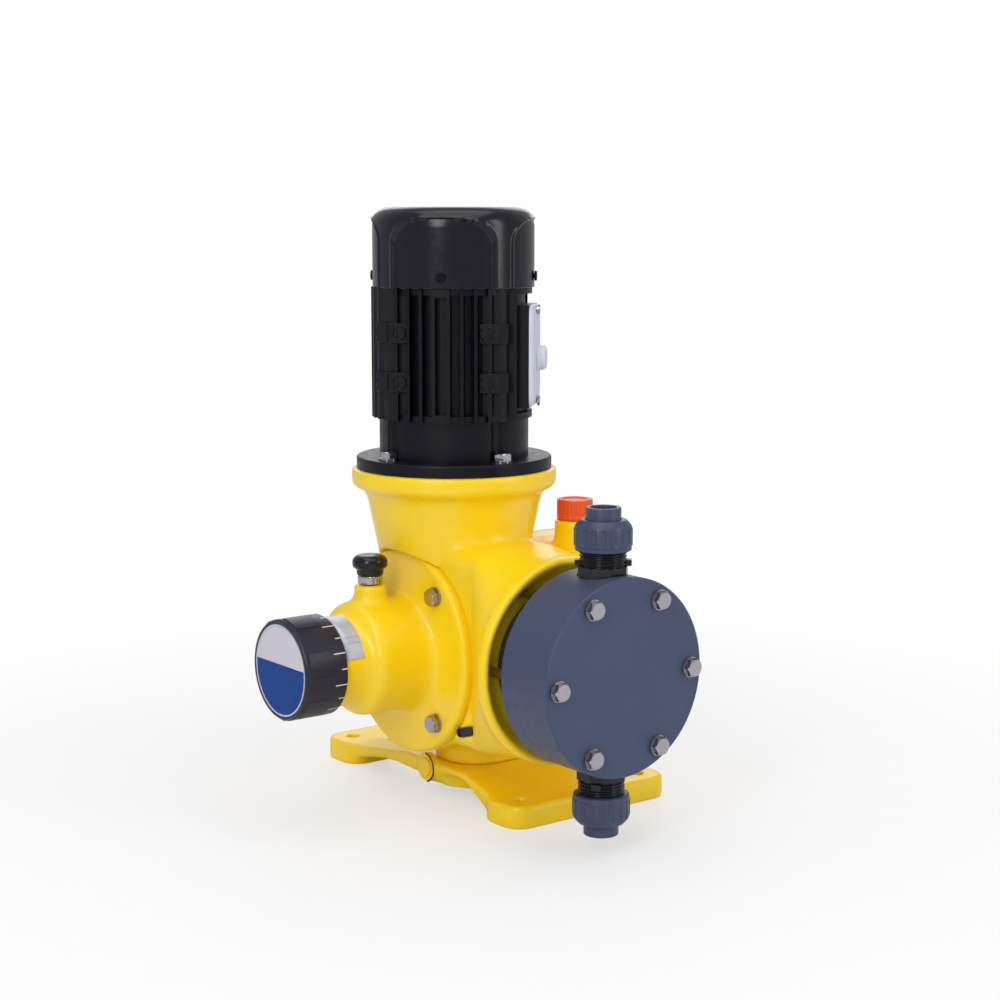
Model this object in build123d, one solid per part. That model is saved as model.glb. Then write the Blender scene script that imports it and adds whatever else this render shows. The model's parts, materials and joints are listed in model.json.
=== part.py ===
# Diaphragm metering pump: vertical motor, worm drive, spring-return plunger,
# stroke knob on the side and a bolted plastic head with ball valves.
#
# Millimetres, +Z up. The head points to -Y and the stroke knob to -X. The parts are drawn
# about the motor's axis and shifted once, so that the origin is the centre of the four
# foot holes, on the base plane.
from build123d import *
import math
import os

# Foot pattern and place of the motor's axis in it
FOOT_SPACING_X = 124.0
FOOT_SPACING_Y = 244.0
MOTOR_X = -56.0
MOTOR_Y = -25.0

# Fits between pieces
RUN_FIT = 0.05
SLIDE_GAP = 0.3
BOLT_GAP = 0.4

# Heights and axes
KNOB_Z = 130.0
HEAD_Z = 140.0
FLANGE_Z = 278.0

# Base casting
FOOT_R = 20.0
FOOT_HEIGHT = 19.0
FOOT_HOLE_R = 5.5
FOOT_ROUND = 2.0
FOOT_REACH = 10.0
FOOT_CORNER = 17.0
RAIL_WIDTH = 30.0
RAIL_LOW = 4.0
RAIL_TOP = 16.0
RAIL_FRONT_HOLLOW = 23.0
RAIL_HOLLOW = 17.0
RAIL_SPREAD = 60.0
RAIL_REAR_SPREAD = 82.0
BASE_TOP = 30.0
PEDESTAL_START = 22.0
PEDESTAL_END = 92.0
PEDESTAL_R = 38.0
PEDESTAL_LOW = 10.0
PEDESTAL_WALL = 8.0
PEDESTAL_ROOF = 14.0
BASE_BOLT_X = 8.0
BASE_BOLT_Y = 17.0
BASE_BOLT_END = 50.0
DRAIN_R = 9.5
DRAIN_BOSS_R = 12.5
DRAIN_Y = 10.0
DRAIN_Z = 24.5
DRAIN_REACH = 4.0
DRAIN_BOSS_LENGTH = 8.0
DRAIN_RIM = 2.0

# Crankcase casting
CASE_WALL = 8.0
WHEEL_CLEARANCE = 5.2
CASE_LEFT = -40.0
CASE_RIGHT = 132.0
CASE_END_ROUND = 16.0
WEB_X = 38.0
WEB_THICK = 12.0
WEB_WINDOW_R = 14.0
WEB_WINDOW_Y = 56.0
WEB_WINDOWS = (100.0, 180.0, 260.0)
NECK_R = 34.0
NECK_DRAFT = 4.0
LANTERN_FRONT = -148.0
LANTERN_RIM_R = 82.0
LANTERN_RIM_THICK = 9.0
LANTERN_DISH_R = 64.0
LANTERN_DISH = 16.0
LANTERN_HALF_WIDTH = 46.0
LANTERN_CORNER = 16.0
LANTERN_ROOT_Y = -86.0
LANTERN_BACK = -72.0
LANTERN_BORE_R = 44.0
GUIDE_WALL_FRONT = -90.0
SLOT_PLACE = (-78.0, 77.0)
SLOT_LENGTH = 30.0
SLOT_HEIGHT = 7.0
SLOT_DEPTH = 6.0
SLOT_TILT = 17.0
DECK_TOP = 221.0
BOWL_FOOT_R = 63.0
BOWL_TOP_R = 74.0
BOWL_FOOT_Z = 212.0
BOWL_RIM_R = 84.0
BOWL_RIM_THICK = 16.0
BOWL_RIM_ROUND = 6.0
BOWL_WALL = 10.0
BOWL_FLOOR = 222.0

# Side cover and stroke adjuster
COVER_THICK = 12.0
COVER_ROUND = 3.0
COVER_BOLT_EDGE = 15.5
COVER_BOLT_ANGLE = 49.0
COVER_BOLT_DEPTH = 12.0
COVER_BOSS_R = 9.0
COVER_GAP = 0.5
DOME_R = 46.0
DOME_END = -106.0
DOME_ROUND = 8.0
DOME_FOOT_ROUND = 8.0
DOME_WALL = 8.0
DOME_FLOOR = -64.0
BARREL_R = 36.0
BARREL_END = -140.0
BARREL_WALL = 5.0
LABEL_THICK = 0.6
LABEL_START = 160.0
LABEL_STOP = 256.0
KNOB_FACE = -169.4
KNOB_LENGTH = 38.0
KNOB_R = 41.4
KNOB_WALL = 4.4
KNOB_FRONT = 8.0
KNOB_GRIPS = 8
GRIP_CUT_R = 12.0
GRIP_DEPTH = 1.6
GRIP_LENGTH = 28.0
DISC_R = 34.0
DISC_THICK = 1.2
HUB_R = 16.0
HUB_LENGTH = 24.0
SPINDLE_R = 11.0
CONE_TIP_R = 5.0
CONE_TIP_X = -42.5
KNOB_TRAVEL = 15.0
STROKE = 4.0
CONE_COLLAR = 4.0
PIVOT_R = 5.0
PIVOT_DEPTH = 8.0
NUT_R = 17.0
NUT_FRONT = -98.0
LOCK_X = -84.0
LOCK_BOSS_TOP = 189.0
LOCK_STEM_R = 10.0
LOCK_WALL = 3.0
LOCK_BORE_R = 5.0
LOCK_CAP_R = 13.5
LOCK_CAP_LOW = 196.0
LOCK_CAP_HEAD = 11.0
LOCK_CAP_TOP = 213.0

# Worm drive
WORM_PITCH_R = 12.0
MODULE = 2.8
WHEEL_TEETH = 20
WHEEL_WIDTH = 18.0
TOOTH_SHARE = 0.36
WORM_TURNS = 5
WORM_SHAFT_R = 8.5
WHEEL_HUB_R = 13.0
WHEEL_RIM = 4.0
WHEEL_RECESS = 4.0
LOW_JOURNAL_R = 6.0
LOW_BEARING_R = 16.0
LOW_BEARING_Z = 88.0
LOW_BEARING_WIDTH = 10.0
TOP_BEARING_R = 20.0
TOP_BEARING_Z = 210.0
BEARING_WALL = 6.0
CRANK_BEARING_R = 20.0
CRANK_BEARING_WIDTH = 12.0
COUPLING_R = 16.0
COUPLING_Z = 244.0
COUPLING_HALF = 18.0
CRANK_R = 8.5
CAM_R = 20.0
CAM_WIDTH = 8.0
CAM_X = 22.0

# Plunger, guide and diaphragm
ROD_R = 10.0
RAIL_X = 18.0
RAIL_THICK = 8.0
YOKE_HEIGHT = 20.0
YOKE_FRONT = -32.0
CROSS_THICK = 10.0
LUG_LENGTH = 22.0
LUG_HEIGHT = 16.0
LUG_Z = 134.0
BUSH_R = 15.0
SEAL_THICK = 6.0
GUIDE_BOSS_R = 26.0
COLLAR_R = 30.0
COLLAR_Y = -96.0
COLLAR_THICK = 4.0
SPRING_R = 26.0
SPRING_WIRE_R = 1.9
SPRING_TURNS = 4
SUPPORT_R = 56.0
SUPPORT_BORE_R = 42.0
SUPPORT_FLOOR_R = 32.0
SUPPORT_FLOOR_Y = -140.0
SPRING_SEAT = -128.0
DIAPHRAGM_THICK = 3.0
CLAMP_R = 24.0
CLAMP_THICK = 5.0
CLAMP_GAP = 0.3

# Pump head
HEAD_R = 76.5
HEAD_FRONT = -216.0
HEAD_THICK = 54.0
HEAD_BOLT_EDGE = 11.5
HEAD_BOLTS = 6
HEAD_BOLT_DEPTH = 8.0
CAVITY_R = 42.0
CAVITY_DEPTH = 6.0
CAVITY_FLARE = 12.0
PORT_R = 4.5
PORT_Z = 30.0
VALVE_Y = -189.0
VALVE_DEPTH = 14.0
SPOT_FACE = 3.0
GASKET = 1.5
VALVE_BODY_R = 18.5
VALVE_THREAD_R = 16.5
VALVE_COLLAR_R = 21.0
VALVE_COLLAR_GAP = 6.0
VALVE_COLLAR = 10.0
VALVE_LENGTH = 31.0
UNION_R = 22.3
UNION_START = 17.0
UNION_LENGTH = 24.0
UNION_RIBS = 16
UNION_RIB_R = 1.6
UNION_RIB_DEPTH = 1.0
UNION_ROUND = 5.0
PIPE_R = 10.05
PIPE_DEPTH = 16.0
CONNECTOR_R = 13.5
CONNECTOR_END = 50.0
CONNECTOR_FLANGE = 4.0
BALL_R = 6.35
BALL_LIFT = 3.0
SEAT_HOLE_R = 4.5
SEAT_R = 9.5
SEAT_THICK = 4.0
CAGE_HOLE_R = 5.0
CAGE_SLOT = 3.0

# Hexagon bolts, size M8
BOLT_R = 4.0
BOLT_HEAD_FLATS = 13.0
BOLT_HEAD = 5.3
WASHER_R = 8.0
WASHER = 1.6

# Motor
MOTOR_PITCH_CIRCLE = 130.0
MOTOR_FLANGE_R = 80.0
MOTOR_FLANGE_THICK = 10.0
SPIGOT_R = 55.0
SPIGOT = 4.0
MOTOR_BOLT_DEPTH = 12.0
SHIELD_STEP = 6.0
SHIELD_PLATE = 5.0
SHIELD_RIM = 14.0
FRAME_START = 320.0
FRAME_END = 425.0
FRAME_R = 67.0
FRAME_WALL = 6.0
FRAME_RIM = 5.0
FRAME_RIM_STEP = 3.0
FIN_DEPTH = 9.0
FIN_THICK = 2.6
FIN_PITCH = 10.5
FIN_START = 6.0
FINS_PER_HALF = 5
CHANNEL_BLOCK = 6.5
PAD_FACE_INSET = 16.0
PAD_WIDTH = 24.0
PAD_HEIGHT = 16.0
PAD_HEIGHTS = (351.0, 390.0)
COWL_STEP = 0.6
COWL_LENGTH = 64.0
COWL_WALL = 2.2
COWL_ROUND = 16.0
PANEL_ANGLE = 36.0
PANEL_DEPTH = 1.2
PANEL_BELOW = 2.0
PANEL_ABOVE = 10.0
PANEL_ROUND = 22.0
GRILLE_RINGS = 4
GRILLE_START = 14.0
GRILLE_PITCH = 9.0
GRILLE_SLOT = 4.0
GRILLE_RIB = 6.0
COWL_SCREW_RISE = 9.0
SCREW_R = 2.0
SCREW_HEAD_R = 4.0
SCREW_HEAD = 1.6
MOTOR_SHAFT_R = 7.0
STATOR_DEPTH = 19.0
AIR_GAP = 0.5
CORE_INSET = 17.0
CORE_TOP_INSET = 22.0
WINDING_GAP = 3.0
WINDING_HEIGHT = 13.0
BEARING_R = 17.5
BEARING_WIDTH = 11.0
TERMINAL_LOW = 329.0
TERMINAL_HIGH = 411.0
TERMINAL_WIDTH = 56.0
TERMINAL_ANGLE = 315.0
TERMINAL_INSET = 2.0
TERMINAL_DEPTH = 9.0
TERMINAL_WALL = 5.0
TERMINAL_THICK = 4.0
BLOCK_SIDE = 28.0
BLOCK_WIDTH = 32.0
BLOCK_THICK = 4.0
PLUG_R = 11.5
PLUG_LENGTH = 7.0
PLUG_TAPER = 2.5
PLUG_Z = 368.0
FAN_GAP = 9.4
FAN_BLADES = 6
FAN_CLEAR = 22.0

# Oil filler cap
FILLER_X = 92.0
FILLER_Y = -45.0
FILLER_SEAT = 231.0
FILLER_R = 15.0
FILLER_HEIGHT = 17.0
FILLER_NOTCHES = 12

# Worked-out sizes
WHEEL_R = MODULE * WHEEL_TEETH / 2
CENTRE_DISTANCE = WORM_PITCH_R + WHEEL_R
LEAD = math.pi * MODULE
ECCENTRICITY = STROKE / 2
CONE_SLOPE = STROKE / KNOB_TRAVEL
CASE_BORE_R = CENTRE_DISTANCE + WHEEL_R + MODULE + WHEEL_CLEARANCE
CASE_R = CASE_BORE_R + CASE_WALL
COVER_OUTER = CASE_LEFT - COVER_THICK
HEAD_BACK = HEAD_FRONT + HEAD_THICK
BOWL_RIM_LOW = FLANGE_Z - BOWL_RIM_THICK
SUPPORT_SEAT = LANTERN_FRONT + LANTERN_DISH
CLAMP_BACK = HEAD_BACK + DIAPHRAGM_THICK + CLAMP_THICK
CONE_BASE_X = CONE_TIP_X - (SPINDLE_R - CONE_TIP_R) / CONE_SLOPE
KNOB_BACK_OUT = KNOB_FACE + KNOB_LENGTH
CONNECTOR_START = VALVE_LENGTH + GASKET
BALL_RISE = math.sqrt(BALL_R ** 2 - SEAT_HOLE_R ** 2) + RUN_FIT
FOLLOWER_Y = CENTRE_DISTANCE - CAM_R - ECCENTRICITY - SLIDE_GAP
SHIELD_R = FRAME_R - SHIELD_STEP
FRAME_CORE_R = FRAME_R - FIN_DEPTH
FRAME_BORE_R = FRAME_CORE_R - FRAME_WALL
WINDING_R = FRAME_BORE_R - WINDING_GAP
ROTOR_R = FRAME_BORE_R - STATOR_DEPTH
CORE_LOW = FRAME_START + CORE_INSET
CORE_HIGH = FRAME_END - CORE_TOP_INSET
HEAD_BOLT_CIRCLE_R = HEAD_R - HEAD_BOLT_EDGE
COWL_R = FRAME_R + COWL_STEP
COWL_TOP = FRAME_END + COWL_LENGTH
PANEL_LOW = FRAME_END + PANEL_BELOW
PANEL_TOP = COWL_TOP - PANEL_ABOVE
COWL_SCREW_Z = FRAME_END + COWL_SCREW_RISE
FAN_R = COWL_R - COWL_WALL - FAN_GAP
TERMINAL_SEAT = FRAME_R - TERMINAL_INSET
TERMINAL_FLOOR = TERMINAL_SEAT - TERMINAL_DEPTH
TERMINAL_FACE = TERMINAL_SEAT + TERMINAL_THICK


def save(node, shape):
    """Moves a piece, or a list of like pieces, to the foot pattern's origin and writes it."""
    group = Compound(shape) if isinstance(shape, list) else shape
    export_step(Pos(MOTOR_X, MOTOR_Y, 0) * group, f"parts/{node}.step")


def rod(radius, low, high):
    """Solid cylinder about Z between two heights."""
    return Pos(0, 0, (low + high) / 2) * Cylinder(radius, high - low)


def tube(outer, inner, low, high):
    """Hollow cylinder about Z between two heights."""
    return rod(outer, low, high) - rod(inner, low - 1, high + 1)


def turned(*points):
    """Solid turned about Z from (radius, height) points."""
    return revolve(Plane.XZ * make_face(Polyline(*points, close=True)), Axis.Z)


def along_x(shape):
    """Lays a shape drawn about Z along +X."""
    return Rot(0, 90, 0) * shape


def along_y(shape):
    """Lays a shape drawn about Z along +Y."""
    return Rot(-90, 0, 0) * shape


def spaced(shape, count, start=0.0):
    """Copies of a shape at equal angles about Z."""
    return [Rot(0, 0, start + i * 360 / count) * shape for i in range(count)]


def box(low, high):
    """Box between two corners."""
    size = [b - a for a, b in zip(low, high)]
    middle = [(a + b) / 2 for a, b in zip(low, high)]
    return Pos(*middle) * Box(*size)


def hex_bolt(length, head=BOLT_HEAD, flats=BOLT_HEAD_FLATS, radius=BOLT_R, washer=WASHER):
    """Bolt about Z with its washer on z = 0, head up and shank down."""
    hexagon = extrude(RegularPolygon(flats / 2, 6, major_radius=False), head)
    crown = Pos(0, 0, head / 2) * Cone(flats / 2 + head + 0.4, flats / 2 - 0.4, head)
    top = Pos(0, 0, washer) * (hexagon & crown)
    return top + rod(WASHER_R * radius / BOLT_R, 0, washer) + rod(radius, -length, washer + 1)


def foot_places():
    """Centres of the four foot holes, seen from the motor's axis."""
    corners = [(-1, -1), (1, -1), (1, 1), (-1, 1)]
    return [(a * FOOT_SPACING_X / 2 - MOTOR_X, b * FOOT_SPACING_Y / 2 - MOTOR_Y) for a, b in corners]


# Base casting with its feet
def bar(start, end, width, low, high):
    """Straight bar with round ends between two points in plan."""
    length = math.dist(start, end)
    angle = math.degrees(math.atan2(end[1] - start[1], end[0] - start[0]))
    middle = ((start[0] + end[0]) / 2, (start[1] + end[1]) / 2)
    shape = extrude(SlotCenterToCenter(length, width), high - low)
    return Pos(*middle, low) * Rot(0, 0, angle) * shape


def base_bolt_places():
    """Centres of the bolts that hold the crankcase on its base."""
    rows = (PEDESTAL_START + BASE_BOLT_X, PEDESTAL_END - BASE_BOLT_X)
    return [(x, side * BASE_BOLT_Y) for x in rows for side in (-1, 1)]


def side_rail(x, front, rear):
    """Rail between a front and a rear foot, arched clear of the ground."""
    front_knee = front + RAIL_SPREAD
    rear_knee = rear - RAIL_REAR_SPREAD
    halfway = (RAIL_TOP + BASE_TOP) / 2
    front_half = (front + front_knee) / 2
    rear_half = (rear + rear_knee) / 2
    under = Spline((front, RAIL_LOW), (front_half, RAIL_LOW + 4), (front_knee, RAIL_FRONT_HOLLOW),
                   (DRAIN_Y, RAIL_HOLLOW), (rear_knee, RAIL_HOLLOW), (rear - FOOT_R, RAIL_LOW + 2),
                   (rear, RAIL_LOW))
    rear_over = Spline((rear, RAIL_TOP), (rear_half, halfway - 2), (rear_knee - FOOT_R, BASE_TOP))
    front_over = Spline((front_knee, BASE_TOP), (front_half, halfway), (front, RAIL_TOP))
    crown = Line(rear_over @ 1, front_over @ 0)
    ends = [Line(under @ 1, rear_over @ 0), Line(front_over @ 1, under @ 0)]
    side = make_face([under, rear_over, crown, front_over, *ends])
    return Pos(x, 0, 0) * extrude(Plane.YZ * side, RAIL_WIDTH / 2, both=True)


def foot_plate(left, right, y):
    """Plate across the base with a foot at each end, reaching further in than out."""
    middle = ((left + right) / 2, y + math.copysign(FOOT_REACH / 2, -y))
    outline = RectangleRounded(right - left + 2 * FOOT_R, 2 * FOOT_R + FOOT_REACH, FOOT_CORNER)
    body = Pos(*middle, 0) * extrude(outline, FOOT_HEIGHT)
    return fillet(body.edges().group_by(Axis.Z)[-1], FOOT_ROUND)


def base_frame():
    feet = foot_places()
    ends = ((PEDESTAL_START, 0), (PEDESTAL_END, 0))
    body = bar(*ends, 2 * PEDESTAL_R, PEDESTAL_LOW, BASE_TOP)
    left, right = feet[0][0], feet[1][0]
    front, rear = feet[0][1], feet[2][1]
    for y in (front, rear):
        body += foot_plate(left, right, y)
    for x in (left, right):
        body += side_rail(x, front, rear)
    drain_end = -DRAIN_REACH - RAIL_WIDTH / 2
    drain = along_x(rod(DRAIN_BOSS_R, drain_end, drain_end + DRAIN_BOSS_LENGTH))
    body += Pos(feet[0][0], DRAIN_Y, DRAIN_Z) * drain
    body -= bar(*ends, 2 * (PEDESTAL_R - PEDESTAL_WALL), -1, BASE_TOP - PEDESTAL_ROOF)
    seat = along_x(rod(DRAIN_R, drain_end - 1, -RAIL_WIDTH / 2))
    body -= Pos(feet[0][0], DRAIN_Y, DRAIN_Z) * seat
    for x, y in feet:
        body -= Pos(x, y, 0) * rod(FOOT_HOLE_R, -1, FOOT_HEIGHT + 1)
    for x, y in base_bolt_places():
        body -= Pos(x, y, 0) * rod(BOLT_R + BOLT_GAP, 0, BASE_TOP + 1)
    return body


def drain_plug():
    start = -DRAIN_REACH - RAIL_WIDTH / 2
    plug = along_x(rod(DRAIN_R, start + DRAIN_RIM, -RAIL_WIDTH / 2))
    plug += along_x(rod(DRAIN_R - DRAIN_RIM, start, start + DRAIN_RIM))
    return Pos(foot_places()[0][0], DRAIN_Y, DRAIN_Z) * plug


def base_bolts():
    seat = BASE_TOP - PEDESTAL_ROOF
    bolt = Rot(180, 0, 0) * hex_bolt(BASE_BOLT_END - seat)
    return [Pos(x, y, seat) * bolt for x, y in base_bolt_places()]


# Crankcase casting: barrel along X, lantern along Y and motor bowl above
def barrel(radius, left, right):
    """Cylinder along X about the knob's axis."""
    return Pos(0, 0, KNOB_Z) * along_x(rod(radius, left, right))


def head_axis(shape):
    """Puts a shape drawn about Z on the pump head's axis, its Z along +Y."""
    return Pos(0, 0, HEAD_Z) * along_y(shape)


def lantern_form():
    """Body in front of the barrel, spreading from a narrow section to the round head flange."""
    height = 2 * (DECK_TOP - HEAD_Z)
    rim_back = LANTERN_FRONT + LANTERN_RIM_THICK
    round_r = LANTERN_RIM_R - 2
    narrow = RectangleRounded(2 * LANTERN_HALF_WIDTH, height, LANTERN_CORNER)
    round_end = RectangleRounded(2 * round_r, 2 * round_r, round_r - 0.1)
    spread = loft([Plane.XY.offset(LANTERN_ROOT_Y) * narrow, Plane.XY.offset(rim_back) * round_end])
    straight = extrude(Plane.XY.offset(LANTERN_ROOT_Y) * narrow, -LANTERN_ROOT_Y)
    rim = rod(LANTERN_RIM_R, LANTERN_FRONT, rim_back)
    rim = fillet(rim.edges().sort_by(Axis.Z)[0], 3)
    rim_edge = LANTERN_RIM_R - 5
    dish = turned((0, LANTERN_FRONT - 1), (rim_edge, LANTERN_FRONT - 1), (rim_edge, LANTERN_FRONT),
                  (LANTERN_DISH_R, SUPPORT_SEAT), (0, SUPPORT_SEAT))
    return head_axis(straight + spread + rim - dish)


def lantern_slot():
    """Blind slot low on the lantern's left side, rising to the front."""
    outline = Plane.YZ * Rot(0, 0, -SLOT_TILT) * SlotOverall(SLOT_LENGTH, SLOT_HEIGHT)
    return Pos(SLOT_DEPTH - LANTERN_HALF_WIDTH, *SLOT_PLACE) * extrude(outline, -SLOT_DEPTH - 1)


def bowl_form():
    """Bowl that carries the motor, with its rounded rim."""
    cone = turned((0, KNOB_Z), (BOWL_FOOT_R, KNOB_Z), (BOWL_FOOT_R, BOWL_FOOT_Z),
                  (BOWL_TOP_R, BOWL_RIM_LOW + 4), (0, BOWL_RIM_LOW + 4))
    rim = rod(BOWL_RIM_R, BOWL_RIM_LOW, FLANGE_Z)
    rim = fillet(rim.edges().sort_by(Axis.Z)[0], BOWL_RIM_ROUND)
    return cone + rim


def pedestal_form():
    """Neck under the barrel, spreading to the base."""
    middle = (PEDESTAL_START + PEDESTAL_END) / 2
    plan = Pos(middle, 0) * SlotCenterToCenter(PEDESTAL_END - PEDESTAL_START, 2 * NECK_R)
    return extrude(Plane.XY.offset(BASE_TOP) * plan, KNOB_Z - BASE_TOP, taper=-NECK_DRAFT)


def case_outside():
    right_end = barrel(CASE_R, 0, CASE_RIGHT)
    right_end = fillet(right_end.edges().sort_by(Axis.X)[-1], CASE_END_ROUND)
    body = barrel(CASE_R, CASE_LEFT, CASE_RIGHT / 2) + right_end
    body += lantern_form()
    body += bowl_form()
    body += pedestal_form()
    body -= lantern_slot()
    body -= barrel(CASE_R + COVER_GAP, CASE_LEFT - 2 * CASE_R, CASE_LEFT)
    body += Pos(FILLER_X, FILLER_Y, 0) * rod(FILLER_R + 2, KNOB_Z, FILLER_SEAT)
    return body


def crankcase():
    body = case_outside()
    chamber = barrel(CASE_BORE_R, CASE_LEFT - 1, CASE_RIGHT - CASE_WALL)
    web = barrel(CASE_BORE_R + 1, WEB_X, WEB_X + WEB_THICK)
    window = Pos(0, WEB_WINDOW_Y, 0) * along_x(rod(WEB_WINDOW_R, -1, WEB_THICK + 1))
    for angle in WEB_WINDOWS:
        web -= Pos(WEB_X, 0, KNOB_Z) * Rot(angle, 0, 0) * window
    guide_wall = head_axis(rod(GUIDE_BOSS_R, GUIDE_WALL_FRONT, LANTERN_BACK))
    top_boss = rod(TOP_BEARING_R + BEARING_WALL, TOP_BEARING_Z - 12, BOWL_FLOOR)
    low_boss = rod(LOW_BEARING_R + BEARING_WALL, KNOB_Z - CASE_BORE_R - 1, LOW_BEARING_Z + LOW_BEARING_WIDTH)
    body -= chamber
    body -= rod(BOWL_FOOT_R - BOWL_WALL, BOWL_FLOOR, FLANGE_Z - SPIGOT)
    body -= rod(SPIGOT_R + RUN_FIT, FLANGE_Z - SPIGOT - 1, FLANGE_Z + 1)
    body -= head_axis(rod(LANTERN_BORE_R, SUPPORT_SEAT - 1, GUIDE_WALL_FRONT))
    body += web + top_boss + low_boss + guide_wall
    for y, z in cover_bolt_places():
        body += Pos(CASE_LEFT, y, KNOB_Z + z) * along_x(rod(COVER_BOSS_R, 0, COVER_BOLT_DEPTH + 4))
        body -= Pos(CASE_LEFT, y, KNOB_Z + z) * along_x(rod(BOLT_R, -1, COVER_BOLT_DEPTH))
    for x, y in base_bolt_places():
        body -= Pos(x, y, 0) * rod(BOLT_R, BASE_TOP - 1, BASE_BOLT_END)
    for x, y in motor_bolt_places():
        body -= Pos(x, y, 0) * rod(BOLT_R, FLANGE_Z - MOTOR_BOLT_DEPTH, FLANGE_Z + 1)
    for x, z in head_bolt_places():
        thread = rod(BOLT_R, LANTERN_FRONT - 1, LANTERN_FRONT + LANTERN_DISH + HEAD_BOLT_DEPTH)
        body -= Pos(x, 0, HEAD_Z + z) * along_y(thread)
    body -= rod(TOP_BEARING_R, TOP_BEARING_Z, BOWL_FLOOR + 1)
    body -= rod(TOP_BEARING_R - 6, TOP_BEARING_Z - 13, BOWL_FLOOR)
    body -= rod(LOW_BEARING_R, LOW_BEARING_Z, LOW_BEARING_Z + LOW_BEARING_WIDTH + 1)
    body -= head_axis(rod(BUSH_R, GUIDE_WALL_FRONT - 1, 0))
    body -= crank_axis(rod(CRANK_BEARING_R, WEB_X - 1, WEB_X + WEB_THICK + 1))
    body -= Pos(FILLER_X, FILLER_Y, 0) * rod(FILLER_R - 4, KNOB_Z, FILLER_SEAT + 1)
    return body


# Side cover with its dome and scale barrel
def knob_axis(shape):
    """Puts a shape drawn about Z on the stroke knob's axis, its Z along +X."""
    return Pos(0, 0, KNOB_Z) * along_x(shape)


def crank_axis(shape):
    """Puts a shape drawn about Z on the crankshaft's axis, its Z along +X."""
    return Pos(0, CENTRE_DISTANCE, HEAD_Z) * along_x(shape)


def cover_bolt_places():
    """Angles and radius of the side cover's bolts about the knob's axis."""
    radius = CASE_R - COVER_BOLT_EDGE
    degrees = (COVER_BOLT_ANGLE, 180 - COVER_BOLT_ANGLE, 180 + COVER_BOLT_ANGLE, -COVER_BOLT_ANGLE)
    angles = [math.radians(a) for a in degrees]
    return [(radius * math.cos(a), radius * math.sin(a)) for a in angles]


def side_cover():
    plate = rod(CASE_R, COVER_OUTER, CASE_LEFT)
    plate = fillet(plate.edges().sort_by(Axis.Z)[0], COVER_ROUND)
    dome = rod(DOME_R, DOME_END, COVER_OUTER)
    dome = fillet(dome.edges().sort_by(Axis.Z)[0], DOME_ROUND)
    body = plate + dome + rod(BARREL_R, BARREL_END, DOME_END + DOME_ROUND)
    foot = body.edges().filter_by(GeomType.CIRCLE).filter_by(lambda e: abs(e.radius - DOME_R) < 0.1)
    body = fillet(foot.sort_by(Axis.Z)[-1], DOME_FOOT_ROUND)
    body -= rod(DOME_R - DOME_WALL, DOME_FLOOR, CASE_LEFT + 1)
    body -= rod(NUT_R, NUT_FRONT, DOME_FLOOR + 1)
    body -= rod(SPINDLE_R + 1, BARREL_END - 1, NUT_FRONT + 1)
    body -= rod(BARREL_R - BARREL_WALL, BARREL_END - 1, DOME_END - DOME_WALL)
    body = knob_axis(body)
    body += crank_axis(rod(CRANK_BEARING_R + BEARING_WALL, COVER_OUTER + 1, CASE_LEFT + CRANK_BEARING_WIDTH))
    body -= crank_axis(rod(CRANK_BEARING_R, CASE_LEFT, CASE_LEFT + CRANK_BEARING_WIDTH + 1))
    boss = Pos(LOCK_X, 0, 0) * rod(LOCK_STEM_R + LOCK_WALL, KNOB_Z + NUT_R + 2, LOCK_BOSS_TOP)
    body += fillet(boss.edges().sort_by(Axis.Z)[-1], 2)
    body -= Pos(LOCK_X, 0, 0) * rod(LOCK_BORE_R, KNOB_Z, LOCK_BOSS_TOP + 1)
    for y, z in cover_bolt_places():
        body -= Pos(COVER_OUTER, y, KNOB_Z + z) * along_x(rod(BOLT_R + BOLT_GAP, -1, COVER_THICK + 1))
    return body


def side_cover_bolts():
    bolt = Rot(0, -90, 0) * hex_bolt(COVER_THICK + COVER_BOLT_DEPTH)
    return [Pos(COVER_OUTER, y, KNOB_Z + z) * bolt for y, z in cover_bolt_places()]


def scale_label():
    """Curved plate on the barrel's visible top and front."""
    ring = tube(BARREL_R + LABEL_THICK, BARREL_R + RUN_FIT, KNOB_BACK_OUT + 1, DOME_END - 1)
    reach = BARREL_R + LABEL_THICK + 1
    half = box((-reach, -reach, BARREL_END), (reach, 0, DOME_END))
    ring -= Rot(0, 0, LABEL_START) * half
    ring -= Rot(0, 0, LABEL_STOP + 180) * half
    return knob_axis(ring)


# Stroke adjuster: knob, spindle, nut, stop cone and lock
def stroke_knob():
    back = KNOB_FACE + KNOB_LENGTH
    body = rod(KNOB_R, KNOB_FACE, back)
    body = fillet(body.edges().sort_by(Axis.Z)[0], 2)
    groove = rod(GRIP_CUT_R, KNOB_FACE - 1, KNOB_FACE + GRIP_LENGTH)
    groove = Pos(KNOB_R + GRIP_CUT_R - GRIP_DEPTH, 0, 0) * groove
    for copy in spaced(groove, KNOB_GRIPS):
        body -= copy
    body -= rod(KNOB_R - KNOB_WALL, KNOB_FACE + KNOB_FRONT, back + 1)
    body += rod(HUB_R, KNOB_FACE + KNOB_FRONT - 1, KNOB_FACE + HUB_LENGTH)
    body -= rod(DISC_R, KNOB_FACE - 1, KNOB_FACE + DISC_THICK)
    body -= rod(SPINDLE_R, KNOB_FACE + KNOB_FRONT, back)
    return knob_axis(body)


def knob_disc():
    return knob_axis(rod(DISC_R, KNOB_FACE, KNOB_FACE + DISC_THICK))


def stroke_spindle():
    body = rod(SPINDLE_R, KNOB_FACE + KNOB_FRONT, CONE_BASE_X - CONE_COLLAR)
    body += rod(PIVOT_R, CONE_BASE_X - CONE_COLLAR - 1, CONE_BASE_X + PIVOT_DEPTH)
    return knob_axis(body)


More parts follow.
